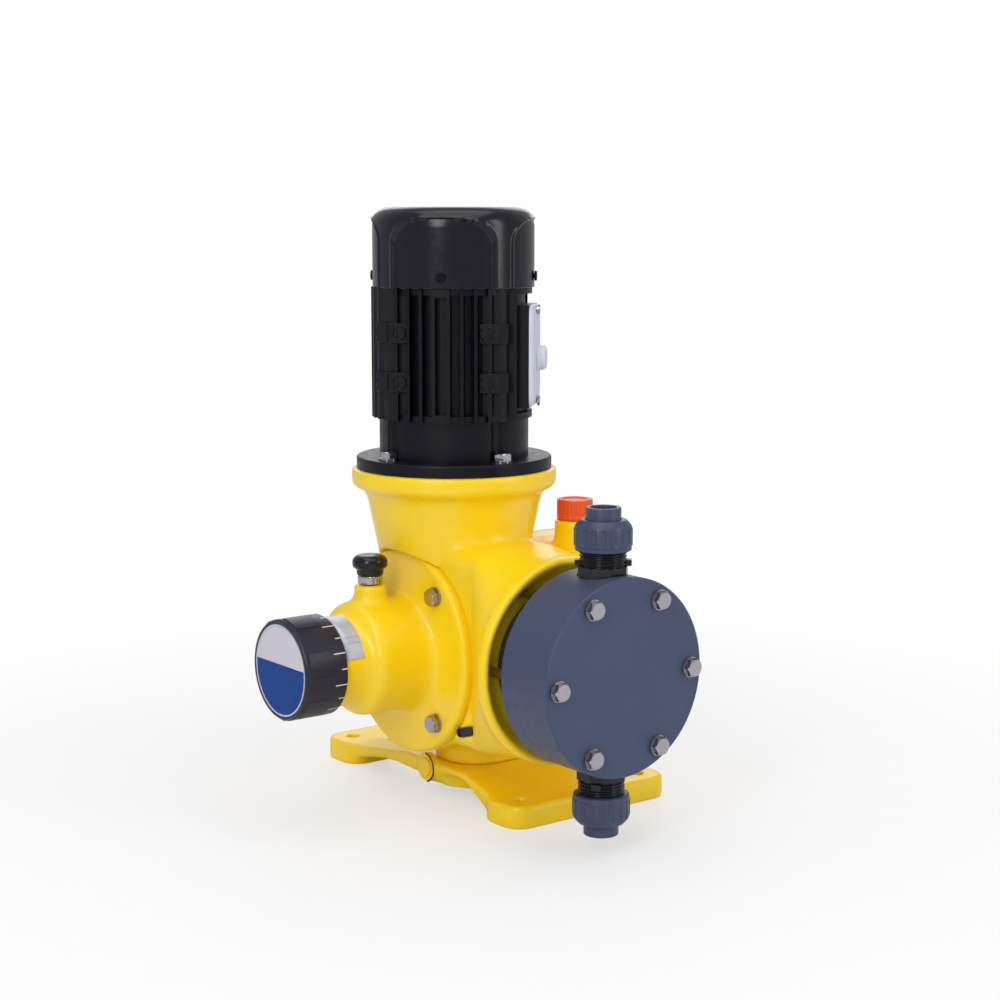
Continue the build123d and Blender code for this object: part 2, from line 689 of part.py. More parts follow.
def spindle_nut():
    body = rod(NUT_R, NUT_FRONT, DOME_FLOOR) + rod(NUT_R + 6, DOME_FLOOR, DOME_FLOOR + 5)
    body -= rod(SPINDLE_R + RUN_FIT, NUT_FRONT - 1, DOME_FLOOR + 6)
    body = knob_axis(body)
    return body - Pos(LOCK_X, 0, 0) * rod(LOCK_BORE_R, KNOB_Z, LOCK_BOSS_TOP)


def stop_cone():
    back = CONE_BASE_X - CONE_COLLAR
    body = turned((0, back), (SPINDLE_R, back), (SPINDLE_R, CONE_BASE_X),
                  (CONE_TIP_R, CONE_TIP_X), (0, CONE_TIP_X))
    body -= rod(PIVOT_R + RUN_FIT, back - 1, CONE_BASE_X + PIVOT_DEPTH + 1)
    return knob_axis(body)


def lock_screw():
    body = rod(LOCK_BORE_R - RUN_FIT, KNOB_Z + SPINDLE_R + SLIDE_GAP, LOCK_BOSS_TOP + SLIDE_GAP)
    body += rod(LOCK_STEM_R, LOCK_BOSS_TOP + SLIDE_GAP, LOCK_CAP_LOW)
    return Pos(LOCK_X, 0, 0) * body


def lock_cap():
    cap = rod(LOCK_STEM_R + 1.5, LOCK_CAP_LOW, LOCK_CAP_TOP - LOCK_CAP_HEAD + 2)
    head = rod(LOCK_CAP_R, LOCK_CAP_TOP - LOCK_CAP_HEAD, LOCK_CAP_TOP)
    head = fillet(head.edges(), LOCK_CAP_HEAD * 0.35)
    return Pos(LOCK_X, 0, 0) * (cap + head)


# Worm drive
def shaft_coupling():
    body = rod(COUPLING_R, COUPLING_Z - COUPLING_HALF, COUPLING_Z + COUPLING_HALF)
    body = chamfer(body.edges().filter_by(GeomType.CIRCLE), 1.5)
    body -= rod(MOTOR_SHAFT_R, COUPLING_Z, COUPLING_Z + COUPLING_HALF + 1)
    return body - rod(WORM_SHAFT_R, COUPLING_Z - COUPLING_HALF - 1, COUPLING_Z)


def worm_shaft():
    root = WORM_PITCH_R - 1.2 * MODULE
    half_length = WORM_TURNS * LEAD / 2 + LEAD / 2
    shoulder = LOW_BEARING_Z + LOW_BEARING_WIDTH + SLIDE_GAP
    body = rod(WORM_SHAFT_R, shoulder, COUPLING_Z - SLIDE_GAP)
    body += rod(LOW_JOURNAL_R, LOW_BEARING_Z + SLIDE_GAP, shoulder)
    body += rod(root, HEAD_Z - half_length, HEAD_Z + half_length)
    start = HEAD_Z + LEAD / 4 - (WORM_TURNS + 1) // 2 * LEAD
    path = Helix(LEAD, WORM_TURNS * LEAD, WORM_PITCH_R, center=(0, 0, start))
    wide = TOOTH_SHARE * LEAD / 2 + MODULE * math.tan(math.radians(20)) * 1.35
    thin = TOOTH_SHARE * LEAD / 2 - MODULE * math.tan(math.radians(20))
    inner = -MODULE * 1.35
    outline = Polyline((inner, -wide), (MODULE, -thin), (MODULE, thin), (inner, wide), close=True)
    tooth = Plane(origin=path @ 0, x_dir=(1, 0, 0), z_dir=path % 0) * make_face(outline)
    return body + sweep(tooth, path=path, is_frenet=True)


def worm_wheel():
    root = WHEEL_R - 1.2 * MODULE
    crest = WHEEL_R + MODULE
    slope = math.tan(math.radians(20))
    half = TOOTH_SHARE * LEAD / 2
    outline = Polyline((root - 1, half + 1.2 * MODULE * slope), (crest, half - MODULE * slope),
                       (crest, -half + MODULE * slope), (root - 1, -half - 1.2 * MODULE * slope), close=True)
    lean = math.degrees(math.atan2(LEAD, 2 * math.pi * WORM_PITCH_R))
    tooth = Rot(lean, 0, 0) * extrude(make_face(outline), WHEEL_WIDTH / 2 + 1, both=True)
    band = rod(crest + 1, -WHEEL_WIDTH / 2, WHEEL_WIDTH / 2)
    body = rod(root, -WHEEL_WIDTH / 2, WHEEL_WIDTH / 2)
    body += [copy & band for copy in spaced(tooth, WHEEL_TEETH)]
    recess = tube(root - WHEEL_RIM, WHEEL_HUB_R, WHEEL_WIDTH / 2 - WHEEL_RECESS, WHEEL_WIDTH / 2)
    body -= [recess, Rot(180, 0, 0) * recess]
    body -= rod(CRANK_R, -WHEEL_WIDTH, WHEEL_WIDTH)
    return crank_axis(Rot(0, 0, -90) * body)


def crankshaft():
    return crank_axis(rod(CRANK_R, CASE_LEFT + 1, WEB_X + WEB_THICK))


def eccentric_cams():
    disc = rod(CAM_R, -CAM_WIDTH / 2, CAM_WIDTH / 2)
    cams = []
    for side in (-1, 1):
        cam = Pos(0, ECCENTRICITY, 0) * crank_axis(Pos(0, 0, side * CAM_X) * disc)
        cams.append(cam - crank_axis(rod(CRANK_R, -CAM_X - CAM_WIDTH, CAM_X + CAM_WIDTH)))
    return cams


def crank_bearings():
    ring = tube(CRANK_BEARING_R, CRANK_R + RUN_FIT, 0, CRANK_BEARING_WIDTH)
    return [crank_axis(Pos(0, 0, CASE_LEFT) * ring), crank_axis(Pos(0, 0, WEB_X) * ring)]


def worm_bearings():
    top = tube(TOP_BEARING_R, WORM_SHAFT_R + RUN_FIT, TOP_BEARING_Z, BOWL_FLOOR)
    low = tube(LOW_BEARING_R, LOW_JOURNAL_R + RUN_FIT, LOW_BEARING_Z, LOW_BEARING_Z + LOW_BEARING_WIDTH)
    return [top, low]


# Plunger with its yoke, rod, spring and guide
def plunger_yoke():
    half = RAIL_X + RAIL_THICK
    low = HEAD_Z - YOKE_HEIGHT / 2
    high = HEAD_Z + YOKE_HEIGHT / 2
    body = box((-half, YOKE_FRONT, low), (half, YOKE_FRONT + CROSS_THICK, high))
    for side in (-1, 1):
        rail = box((RAIL_X, YOKE_FRONT, low), (half, FOLLOWER_Y, high))
        body += rail if side > 0 else mirror(rail, about=Plane.YZ)
    tip = CONE_TIP_X + KNOB_TRAVEL
    reach = tip - LUG_LENGTH
    stop = -CONE_TIP_R - SLIDE_GAP
    outline = Polyline((-half + 1, YOKE_FRONT), (-half + 1, stop), (tip, stop),
                       (reach, stop - LUG_LENGTH * CONE_SLOPE), (reach, YOKE_FRONT), close=True)
    lug = extrude(make_face(outline), LUG_HEIGHT / 2, both=True)
    body += Pos(0, 0, LUG_Z) * lug
    return body - head_axis(rod(ROD_R - 3, YOKE_FRONT - 1, YOKE_FRONT + CROSS_THICK - 3))


def plunger_rod():
    body = rod(ROD_R, CLAMP_BACK, YOKE_FRONT) + rod(ROD_R - 3, YOKE_FRONT, YOKE_FRONT + CROSS_THICK - 3)
    return head_axis(body)


def spring_collar():
    return head_axis(tube(COLLAR_R, ROD_R, COLLAR_Y - COLLAR_THICK, COLLAR_Y))


def return_spring():
    low = SPRING_SEAT + SPRING_WIRE_R + 0.1
    high = COLLAR_Y - COLLAR_THICK - SPRING_WIRE_R - 0.1
    path = Helix((high - low) / SPRING_TURNS, high - low, SPRING_R, center=(0, 0, low))
    section = Plane(origin=path @ 0, z_dir=path % 0) * Circle(SPRING_WIRE_R)
    return head_axis(sweep(section, path=path, is_frenet=True))


def guide_bush():
    return head_axis(tube(BUSH_R, ROD_R + RUN_FIT, GUIDE_WALL_FRONT + SEAL_THICK, LANTERN_BACK))


def rod_seal():
    return head_axis(tube(BUSH_R, ROD_R + RUN_FIT, GUIDE_WALL_FRONT, GUIDE_WALL_FRONT + SEAL_THICK))


def support_plate():
    front = HEAD_BACK + DIAPHRAGM_THICK
    body = rod(SUPPORT_R, front, SUPPORT_SEAT) + rod(LANTERN_BORE_R - RUN_FIT, SUPPORT_SEAT - 1, SPRING_SEAT)
    cup = turned((0, front - 1), (SUPPORT_BORE_R, front - 1), (SUPPORT_BORE_R, front),
                 (SUPPORT_FLOOR_R, SUPPORT_FLOOR_Y), (0, SUPPORT_FLOOR_Y))
    body -= cup
    return head_axis(body - rod(ROD_R + 4, SUPPORT_FLOOR_Y - 1, SPRING_SEAT + 1))


def diaphragm():
    return head_axis(rod(SUPPORT_R, HEAD_BACK, HEAD_BACK + DIAPHRAGM_THICK))


def diaphragm_clamp():
    start = HEAD_BACK + DIAPHRAGM_THICK
    body = rod(CLAMP_R, start + CLAMP_GAP, CLAMP_BACK)
    return head_axis(fillet(body.edges().sort_by(Axis.Z)[0], 2))


# Pump head and its bolts
def pump_head():
    body = rod(HEAD_R, HEAD_FRONT, HEAD_BACK)
    body = chamfer(body.edges().filter_by(GeomType.CIRCLE), 1.0)
    floor = HEAD_BACK - CAVITY_DEPTH
    body -= turned((0, floor), (CAVITY_R - CAVITY_FLARE, floor), (CAVITY_R, HEAD_BACK),
                   (CAVITY_R, HEAD_BACK + 1), (0, HEAD_BACK + 1))
    hole = Pos(HEAD_BOLT_CIRCLE_R, 0, 0) * rod(BOLT_R + BOLT_GAP, HEAD_FRONT - 1, HEAD_BACK + 1)
    for copy in spaced(hole, HEAD_BOLTS):
        body -= copy
    body = head_axis(body)
    for side in (-1, 1):
        port = Pos(0, VALVE_Y, HEAD_Z + side * PORT_Z) * along_y(rod(PORT_R, -PORT_R, HEAD_BACK - VALVE_Y))
        bore = rod(PORT_R, PORT_Z - PORT_R, HEAD_R)
        bore += rod(VALVE_THREAD_R, HEAD_R - VALVE_DEPTH - GASKET, HEAD_R + 1)
        bore += rod(VALVE_BODY_R + 1, HEAD_R - SPOT_FACE, HEAD_R + 1)
        body -= port
        body -= Pos(0, VALVE_Y, HEAD_Z) * Rot(0, 0 if side > 0 else 180, 0) * bore
    return body


def head_bolt_places():
    """Centres of the head's bolts about the head's axis, as X and Z offsets."""
    angles = [math.radians(i * 360 / HEAD_BOLTS) for i in range(HEAD_BOLTS)]
    return [(HEAD_BOLT_CIRCLE_R * math.cos(a), HEAD_BOLT_CIRCLE_R * math.sin(a)) for a in angles]


def head_bolts():
    length = SUPPORT_SEAT - HEAD_FRONT + HEAD_BOLT_DEPTH
    bolt = Pos(HEAD_BOLT_CIRCLE_R, 0, HEAD_FRONT) * Rot(180, 0, 0) * hex_bolt(length)
    return [head_axis(copy) for copy in spaced(bolt, HEAD_BOLTS)]


# Valves: drawn outward from the head's surface along Z, then set above or below the head
def outward(shape, side):
    """Puts a shape on the discharge side (1) or the suction side (-1) of the head."""
    turn = Rot(0, 0 if side > 0 else 180, 0)
    return Pos(0, VALVE_Y, HEAD_Z + side * HEAD_R) * turn * shape


def valve_low(side):
    """Height of the valve body's lower end."""
    return HEAD_Z + HEAD_R - VALVE_DEPTH if side > 0 else HEAD_Z - HEAD_R - VALVE_LENGTH


def valve_body(side):
    body = rod(VALVE_THREAD_R, -VALVE_DEPTH, VALVE_LENGTH)
    body += rod(VALVE_BODY_R, -SPOT_FACE, VALVE_COLLAR_GAP)
    collar = rod(VALVE_COLLAR_R, VALVE_COLLAR_GAP, VALVE_COLLAR_GAP + VALVE_COLLAR)
    flats = extrude(RegularPolygon(VALVE_COLLAR_R - 1.5, 8, major_radius=False), VALVE_LENGTH)
    body += collar & flats
    body = outward(body, side)
    low = valve_low(side)
    seat_top = low + SEAT_THICK
    stop = seat_top + BALL_RISE + BALL_R + BALL_LIFT + SLIDE_GAP
    body -= Pos(0, VALVE_Y, 0) * rod(SEAT_R, low - 1, stop)
    above = low + VALVE_LENGTH + VALVE_DEPTH + 1
    body -= Pos(0, VALVE_Y, 0) * rod(CAGE_HOLE_R, stop - 1, above)
    slot = box((-SEAT_R, -CAGE_SLOT / 2, stop - 1), (SEAT_R, CAGE_SLOT / 2, above))
    for angle in (45, 135):
        body -= Pos(0, VALVE_Y, 0) * Rot(0, 0, angle) * slot
    return body


def valve_seat(side):
    low = valve_low(side)
    return Pos(0, VALVE_Y, 0) * tube(SEAT_R, SEAT_HOLE_R, low, low + SEAT_THICK)


def valve_ball(side):
    centre = valve_low(side) + SEAT_THICK + BALL_RISE
    return Pos(0, VALVE_Y, centre) * Sphere(BALL_R)


def union_nut(side):
    end = UNION_START + UNION_LENGTH
    body = rod(UNION_R, UNION_START, end)
    rib = Pos(UNION_R, 0, 0) * rod(UNION_RIB_R, UNION_START + 2, end)
    body = fillet(body.edges().sort_by(Axis.Z)[-1], UNION_ROUND)
    grooves = [copy - rod(UNION_R - UNION_RIB_DEPTH, 0, end) for copy in spaced(rib, UNION_RIBS)]
    for groove in grooves:
        body -= groove
    body -= rod(VALVE_THREAD_R + BOLT_GAP, UNION_START - 1, CONNECTOR_START + CONNECTOR_FLANGE)
    body -= rod(CONNECTOR_R + BOLT_GAP, UNION_START, end + 1)
    return outward(body, side)


def pipe_connector(side):
    body = rod(VALVE_THREAD_R, CONNECTOR_START, CONNECTOR_START + CONNECTOR_FLANGE)
    tube_end = rod(CONNECTOR_R, CONNECTOR_START, CONNECTOR_END)
    body += chamfer(tube_end.edges().sort_by(Axis.Z)[-1], 1)
    body -= rod(PIPE_R, CONNECTOR_END - PIPE_DEPTH, CONNECTOR_END + 1)
    body -= rod(PIPE_R - 3, CONNECTOR_START - 1, CONNECTOR_END)
    return outward(body, side)


def valve_seals():
    """Flat rings at both ends of each valve body."""
    seals = []
    for side in (-1, 1):
        seals.append(outward(tube(VALVE_THREAD_R - 1, SEAT_R, -VALVE_DEPTH - GASKET, -VALVE_DEPTH), side))
        seals.append(outward(tube(VALVE_THREAD_R - 1, SEAT_R, VALVE_LENGTH, CONNECTOR_START), side))
    return seals


# Motor
def motor_bolt_places():
    return [(MOTOR_PITCH_CIRCLE / 2 * math.cos(a), MOTOR_PITCH_CIRCLE / 2 * math.sin(a))
            for a in (0, math.pi / 2, math.pi, 3 * math.pi / 2)]


def motor_flange():
    top = FLANGE_Z + MOTOR_FLANGE_THICK
    body = rod(MOTOR_FLANGE_R, FLANGE_Z, top) + rod(SPIGOT_R, FLANGE_Z - SPIGOT, FLANGE_Z)
    body = fillet(body.edges().filter_by(GeomType.CIRCLE).sort_by(Axis.Z)[-1], 2)
    body += rod(SHIELD_R, top - 1, FRAME_START)
    body -= rod(FRAME_BORE_R, top + BEARING_WIDTH + 2, FRAME_START + 1)
    body -= rod(BEARING_R, top + 2, FRAME_START)
    body -= rod(MOTOR_SHAFT_R + 1, FLANGE_Z - SPIGOT - 1, FRAME_START)
    for x, y in motor_bolt_places():
        body -= Pos(x, y, 0) * rod(WASHER_R + 1, top, FRAME_START + 1)
        body -= Pos(x, y, 0) * rod(BOLT_R + BOLT_GAP, FLANGE_Z - 1, top + 1)
    return body


def motor_flange_bolts():
    bolt = hex_bolt(MOTOR_FLANGE_THICK + MOTOR_BOLT_DEPTH)
    return [Pos(x, y, FLANGE_Z + MOTOR_FLANGE_THICK) * bolt for x, y in motor_bolt_places()]


def fin_row(offsets):
    """Upright fins on both halves of one side, parallel to the side's direction +X."""
    row = []
    for offset in offsets:
        for y in (-offset, offset):
            low = (FRAME_BORE_R / 2, y - FIN_THICK / 2, FRAME_START)
            row.append(box(low, (FRAME_R + 1, y + FIN_THICK / 2, FRAME_END)))
    return row


def channel_blocks():
    """Blocks that close both ends of the channel in the middle of one side."""
    side = (FRAME_BORE_R / 2, -FIN_START, FRAME_START)
    low = box(side, (FRAME_R + 1, FIN_START, FRAME_START + CHANNEL_BLOCK))
    return [low, Pos(0, 0, FRAME_END - FRAME_START - CHANNEL_BLOCK) * low]


def foot_pads():
    """Square blocks between the sides, where loose feet could be bolted on."""
    face = FRAME_R - PAD_FACE_INSET
    inner = face - PAD_WIDTH
    pads = []
    for z in PAD_HEIGHTS:
        pad = box((inner, inner, z - PAD_HEIGHT / 2), (face, face, z + PAD_HEIGHT / 2))
        pads += spaced(pad - rod(FRAME_CORE_R - 1, FRAME_START, FRAME_END), 4, 45)
    return pads


def motor_frame():
    offsets = [FIN_START + i * FIN_PITCH for i in range(FINS_PER_HALF)]
    body = rod(FRAME_CORE_R, FRAME_START, FRAME_END)
    for angle in (45, 135, 225, 315):
        if angle == TERMINAL_ANGLE:
            features = fin_row([y for y in offsets if y > TERMINAL_WIDTH / 2 + FIN_THICK])
        else:
            features = fin_row(offsets) + channel_blocks()
        body += [Rot(0, 0, angle) * feature for feature in features]
    body &= rod(FRAME_R, FRAME_START, FRAME_END)
    body += rod(FRAME_R - FRAME_RIM_STEP, FRAME_START, FRAME_START + FRAME_RIM)
    body += rod(FRAME_R - FRAME_RIM_STEP, FRAME_END - FRAME_RIM, FRAME_END)
    half = TERMINAL_WIDTH / 2
    pad = box((FRAME_BORE_R / 2, -half, TERMINAL_LOW), (TERMINAL_SEAT, half, TERMINAL_HIGH))
    pocket = box((TERMINAL_FLOOR, TERMINAL_WALL - half, TERMINAL_LOW + 2 * TERMINAL_WALL),
                 (TERMINAL_SEAT + 1, half - TERMINAL_WALL, TERMINAL_HIGH - 2 * TERMINAL_WALL))
    body += Rot(0, 0, TERMINAL_ANGLE) * pad
    body -= Rot(0, 0, TERMINAL_ANGLE) * pocket
    body -= rod(FRAME_BORE_R, FRAME_START - 1, FRAME_END + 1)
    return body + foot_pads()


def terminal_cover():
    half = TERMINAL_WIDTH / 2
    body = box((TERMINAL_SEAT, -half, TERMINAL_LOW), (TERMINAL_FACE, half, TERMINAL_HIGH))
    body = fillet(body.edges().filter_by(Axis.X), 4)
    body = fillet(body.faces().sort_by(Axis.X)[-1].edges(), 1.2)
    for z in terminal_screw_heights():
        body -= Pos(0, 0, z) * along_x(rod(SCREW_R + RUN_FIT, TERMINAL_SEAT - 1, TERMINAL_FACE + 1))
    return Rot(0, 0, TERMINAL_ANGLE) * body


def terminal_screw_heights():
    return (TERMINAL_LOW + 4, TERMINAL_HIGH - 4)


def terminal_cover_screws():
    screw = rod(SCREW_R, TERMINAL_SEAT, TERMINAL_FACE)
    screw = along_x(screw + rod(SCREW_HEAD_R, TERMINAL_FACE, TERMINAL_FACE + SCREW_HEAD))
    return [Rot(0, 0, TERMINAL_ANGLE) * Pos(0, 0, z) * screw for z in terminal_screw_heights()]


def terminal_block():
    low = (TERMINAL_FLOOR, -BLOCK_WIDTH / 2, PLUG_Z - BLOCK_SIDE / 2)
    body = box(low, (TERMINAL_FLOOR + BLOCK_THICK, BLOCK_WIDTH / 2, PLUG_Z + BLOCK_SIDE / 2))
    return Rot(0, 0, TERMINAL_ANGLE) * body


def cable_plug():
    taper = Cone(PLUG_R, PLUG_R - PLUG_TAPER, PLUG_LENGTH)
    body = along_x(Pos(0, 0, TERMINAL_FACE + PLUG_LENGTH / 2) * taper)
    return Rot(0, 0, TERMINAL_ANGLE) * Pos(0, 0, PLUG_Z) * body


def stator_core():
    return tube(FRAME_BORE_R, ROTOR_R + AIR_GAP, CORE_LOW, CORE_HIGH)


def stator_windings():
    ring = tube(WINDING_R, ROTOR_R + 3, 0, WINDING_HEIGHT)
    ring = fillet(ring.edges().sort_by(Axis.Z)[-2:], 3)
    return [Pos(0, 0, CORE_HIGH) * ring, Pos(0, 0, CORE_LOW) * Rot(180, 0, 0) * ring]


def rotor_core():
    return tube(ROTOR_R, MOTOR_SHAFT_R, CORE_LOW, CORE_HIGH)


def motor_shaft():
    return rod(MOTOR_SHAFT_R, COUPLING_Z + SLIDE_GAP, COWL_TOP - FAN_CLEAR - 2)


def motor_bearings():
    low = FLANGE_Z + MOTOR_FLANGE_THICK + 2
    ring = tube(BEARING_R, MOTOR_SHAFT_R + RUN_FIT, 0, BEARING_WIDTH)
    return [Pos(0, 0, low) * ring, Pos(0, 0, FRAME_END) * ring]


def rear_end_shield():
    body = rod(SHIELD_R, FRAME_END, FRAME_END + SHIELD_PLATE)
    body += rod(BEARING_R + 5, FRAME_END, FRAME_END + BEARING_WIDTH + 3)
    body += tube(COWL_R - COWL_WALL, SHIELD_R - 1, FRAME_END, FRAME_END + SHIELD_RIM)
    body -= rod(BEARING_R, FRAME_END - 1, FRAME_END + BEARING_WIDTH)
    return body - rod(MOTOR_SHAFT_R + 1, FRAME_END, FRAME_END + BEARING_WIDTH + 4)


def cooling_fan():
    low = FRAME_END + BEARING_WIDTH + 6
    high = COWL_TOP - FAN_CLEAR
    body = rod(MOTOR_SHAFT_R + 5, low, high) + rod(FAN_R * 0.8, low, low + 2)
    blade = box((MOTOR_SHAFT_R + 2, -1.2, low), (FAN_R, 1.2, high))
    body += spaced(blade, FAN_BLADES)
    return body - rod(MOTOR_SHAFT_R, low - 1, high + 1)


def fan_cover():
    body = rod(COWL_R, FRAME_END, COWL_TOP)
    body = fillet(body.edges().sort_by(Axis.Z)[-1], COWL_ROUND)
    inside = rod(COWL_R - COWL_WALL, FRAME_END - 1, COWL_TOP - COWL_WALL)
    body -= fillet(inside.edges().sort_by(Axis.Z)[-1], COWL_ROUND - COWL_WALL)
    width = 2 * COWL_R * math.sin(math.radians(PANEL_ANGLE))
    height = PANEL_TOP - PANEL_LOW
    for turn in range(4):
        face = Rectangle(width, height)
        face = fillet(face.vertices().sort_by(Axis.Y)[-2:], PANEL_ROUND)
        recess = Pos(0, 0, (PANEL_TOP + PANEL_LOW) / 2) * extrude(Plane.YZ * face, COWL_R)
        recess -= rod(COWL_R - PANEL_DEPTH, FRAME_END - 1, COWL_TOP + 1)
        hole = Pos(0, 0, COWL_SCREW_Z) * along_x(rod(SCREW_R + RUN_FIT, 0, COWL_R + 1))
        body -= Rot(0, 0, 45 + 90 * turn) * (recess + hole)
    rib = box((0, -GRILLE_RIB / 2, FRAME_END), (COWL_R, GRILLE_RIB / 2, COWL_TOP + 2))
    for i in range(GRILLE_RINGS):
        inner = GRILLE_START + i * GRILLE_PITCH
        ring = tube(inner + GRILLE_SLOT, inner, COWL_TOP - COWL_WALL - 1, COWL_TOP + 1)
        body -= ring - spaced(rib, 4)
    return body


def fan_cover_screws():
    seat = COWL_R - PANEL_DEPTH
    screw = along_x(rod(SCREW_R, COWL_R - COWL_WALL, seat) + rod(SCREW_HEAD_R, seat, seat + SCREW_HEAD))
    return [Pos(0, 0, COWL_SCREW_Z) * copy for copy in spaced(screw, 4, 45)]


def oil_filler_cap():
    cap = rod(FILLER_R, FILLER_SEAT, FILLER_SEAT + FILLER_HEIGHT)
    cap = fillet(cap.edges().sort_by(Axis.Z)[-1], 2)
    notch = Pos(FILLER_R + 1.2, 0, 0) * rod(2, FILLER_SEAT + 3, FILLER_SEAT + FILLER_HEIGHT + 1)
    for copy in spaced(notch, FILLER_NOTCHES):
        cap -= copy
    return Pos(FILLER_X, FILLER_Y, 0) * (cap + rod(FILLER_R - 4 - RUN_FIT, FILLER_SEAT - 10, FILLER_SEAT + 1))


def main():
    os.makedirs("parts", exist_ok=True)
    pieces = {
        "base_frame": base_frame,
        "drain_plug": drain_plug,
        "base_bolts": base_bolts,
        "crankcase": crankcase,
        "oil_filler_cap": oil_filler_cap,
        "side_cover": side_cover,
        "side_cover_bolts": side_cover_bolts,
        "scale_label": scale_label,
        "stroke_knob": stroke_knob,
        "knob_disc": knob_disc,
        "stroke_spindle": stroke_spindle,
        "spindle_nut": spindle_nut,
        "stop_cone": stop_cone,
        "lock_screw": lock_screw,
        "lock_cap": lock_cap,
        "shaft_coupling": shaft_coupling,
        "worm_shaft": worm_shaft,
        "worm_bearings": worm_bearings,
        "worm_wheel": worm_wheel,
        "crankshaft": crankshaft,
        "eccentric_cams": eccentric_cams,
        "crank_bearings": crank_bearings,
        "plunger_yoke": plunger_yoke,
        "plunger_rod": plunger_rod,
        "spring_collar": spring_collar,
        "return_spring": return_spring,
        "guide_bush": guide_bush,
        "rod_seal": rod_seal,
        "support_plate": support_plate,
        "diaphragm": diaphragm,
        "diaphragm_clamp": diaphragm_clamp,
        "pump_head": pump_head,
        "head_bolts": head_bolts,
        "valve_seals": valve_seals,
        "motor_flange": motor_flange,
        "motor_flange_bolts": motor_flange_bolts,
        "motor_frame": motor_frame,
        "terminal_cover": terminal_cover,
        "terminal_cover_screws": terminal_cover_screws,
        "terminal_block": terminal_block,
        "cable_plug": cable_plug,
        "stator_core": stator_core,
        "stator_windings": stator_windings,
        "rotor_core": rotor_core,
        "motor_shaft": motor_shaft,
        "motor_bearings": motor_bearings,
        "rear_end_shield": rear_end_shield,
        "cooling_fan": cooling_fan,
        "fan_cover": fan_cover,
        "fan_cover_screws": fan_cover_screws,
    }
    for name, make in pieces.items():
        save(name, make())
    for side, name in ((1, "discharge"), (-1, "suction")):
        save(f"{name}_valve_body", valve_body(side))
        save(f"{name}_valve_seat", valve_seat(side))
        save(f"{name}_ball", valve_ball(side))
        save(f"{name}_union_nut", union_nut(side))
        save(f"{name}_connector", pipe_connector(side))


main()
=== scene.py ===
"""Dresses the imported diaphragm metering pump: finishes, detailed pieces, light and camera."""

import json
import logging
import math
from dataclasses import dataclass
from enum import Enum

import bmesh
import bpy
import numpy as np
from mathutils import Matrix

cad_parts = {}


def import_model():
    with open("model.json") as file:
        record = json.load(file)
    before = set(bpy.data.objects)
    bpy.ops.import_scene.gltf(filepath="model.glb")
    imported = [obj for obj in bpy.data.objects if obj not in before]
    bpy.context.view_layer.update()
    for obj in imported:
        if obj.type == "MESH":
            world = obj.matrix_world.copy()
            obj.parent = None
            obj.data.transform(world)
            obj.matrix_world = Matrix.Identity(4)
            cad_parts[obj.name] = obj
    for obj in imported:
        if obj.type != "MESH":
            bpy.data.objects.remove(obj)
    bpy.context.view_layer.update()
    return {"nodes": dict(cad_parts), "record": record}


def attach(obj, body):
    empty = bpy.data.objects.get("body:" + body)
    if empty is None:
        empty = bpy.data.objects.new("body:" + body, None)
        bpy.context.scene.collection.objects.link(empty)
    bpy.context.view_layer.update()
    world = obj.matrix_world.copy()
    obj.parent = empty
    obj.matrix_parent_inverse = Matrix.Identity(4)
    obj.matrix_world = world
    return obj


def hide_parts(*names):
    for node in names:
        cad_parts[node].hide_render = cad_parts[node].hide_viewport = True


LOG = logging.getLogger("pump")
MM = 0.001
MOTOR_AXIS = np.array([-56.0, -25.0, 0.0])
KNOB_AXIS_Z = 130.0
HEAD_AXIS_Z = 140.0
SMOOTH_ANGLE = math.radians(32)


def linear(red: int, green: int, blue: int) -> tuple[float, float, float, float]:
    """Turns a colour as seen, 0 to 255 each, into the shader's linear colour."""
    seen = np.array([red, green, blue]) / 255
    value = np.where(seen <= 0.04045, seen / 12.92, ((seen + 0.055) / 1.055) ** 2.4)
    return (*(float(v) for v in value), 1.0)


class Grain(Enum):
    """How a finish's surface is marked."""

    CAST = "gloss paint over a sand casting"
    ENAMEL = "even paint on a smooth wall"
    MOULDED = "fine texture of a moulded plastic"
    BRUSHED = "fine lines of a turned or rolled metal"
    RUBBED = "dull rubber with a faint bloom"


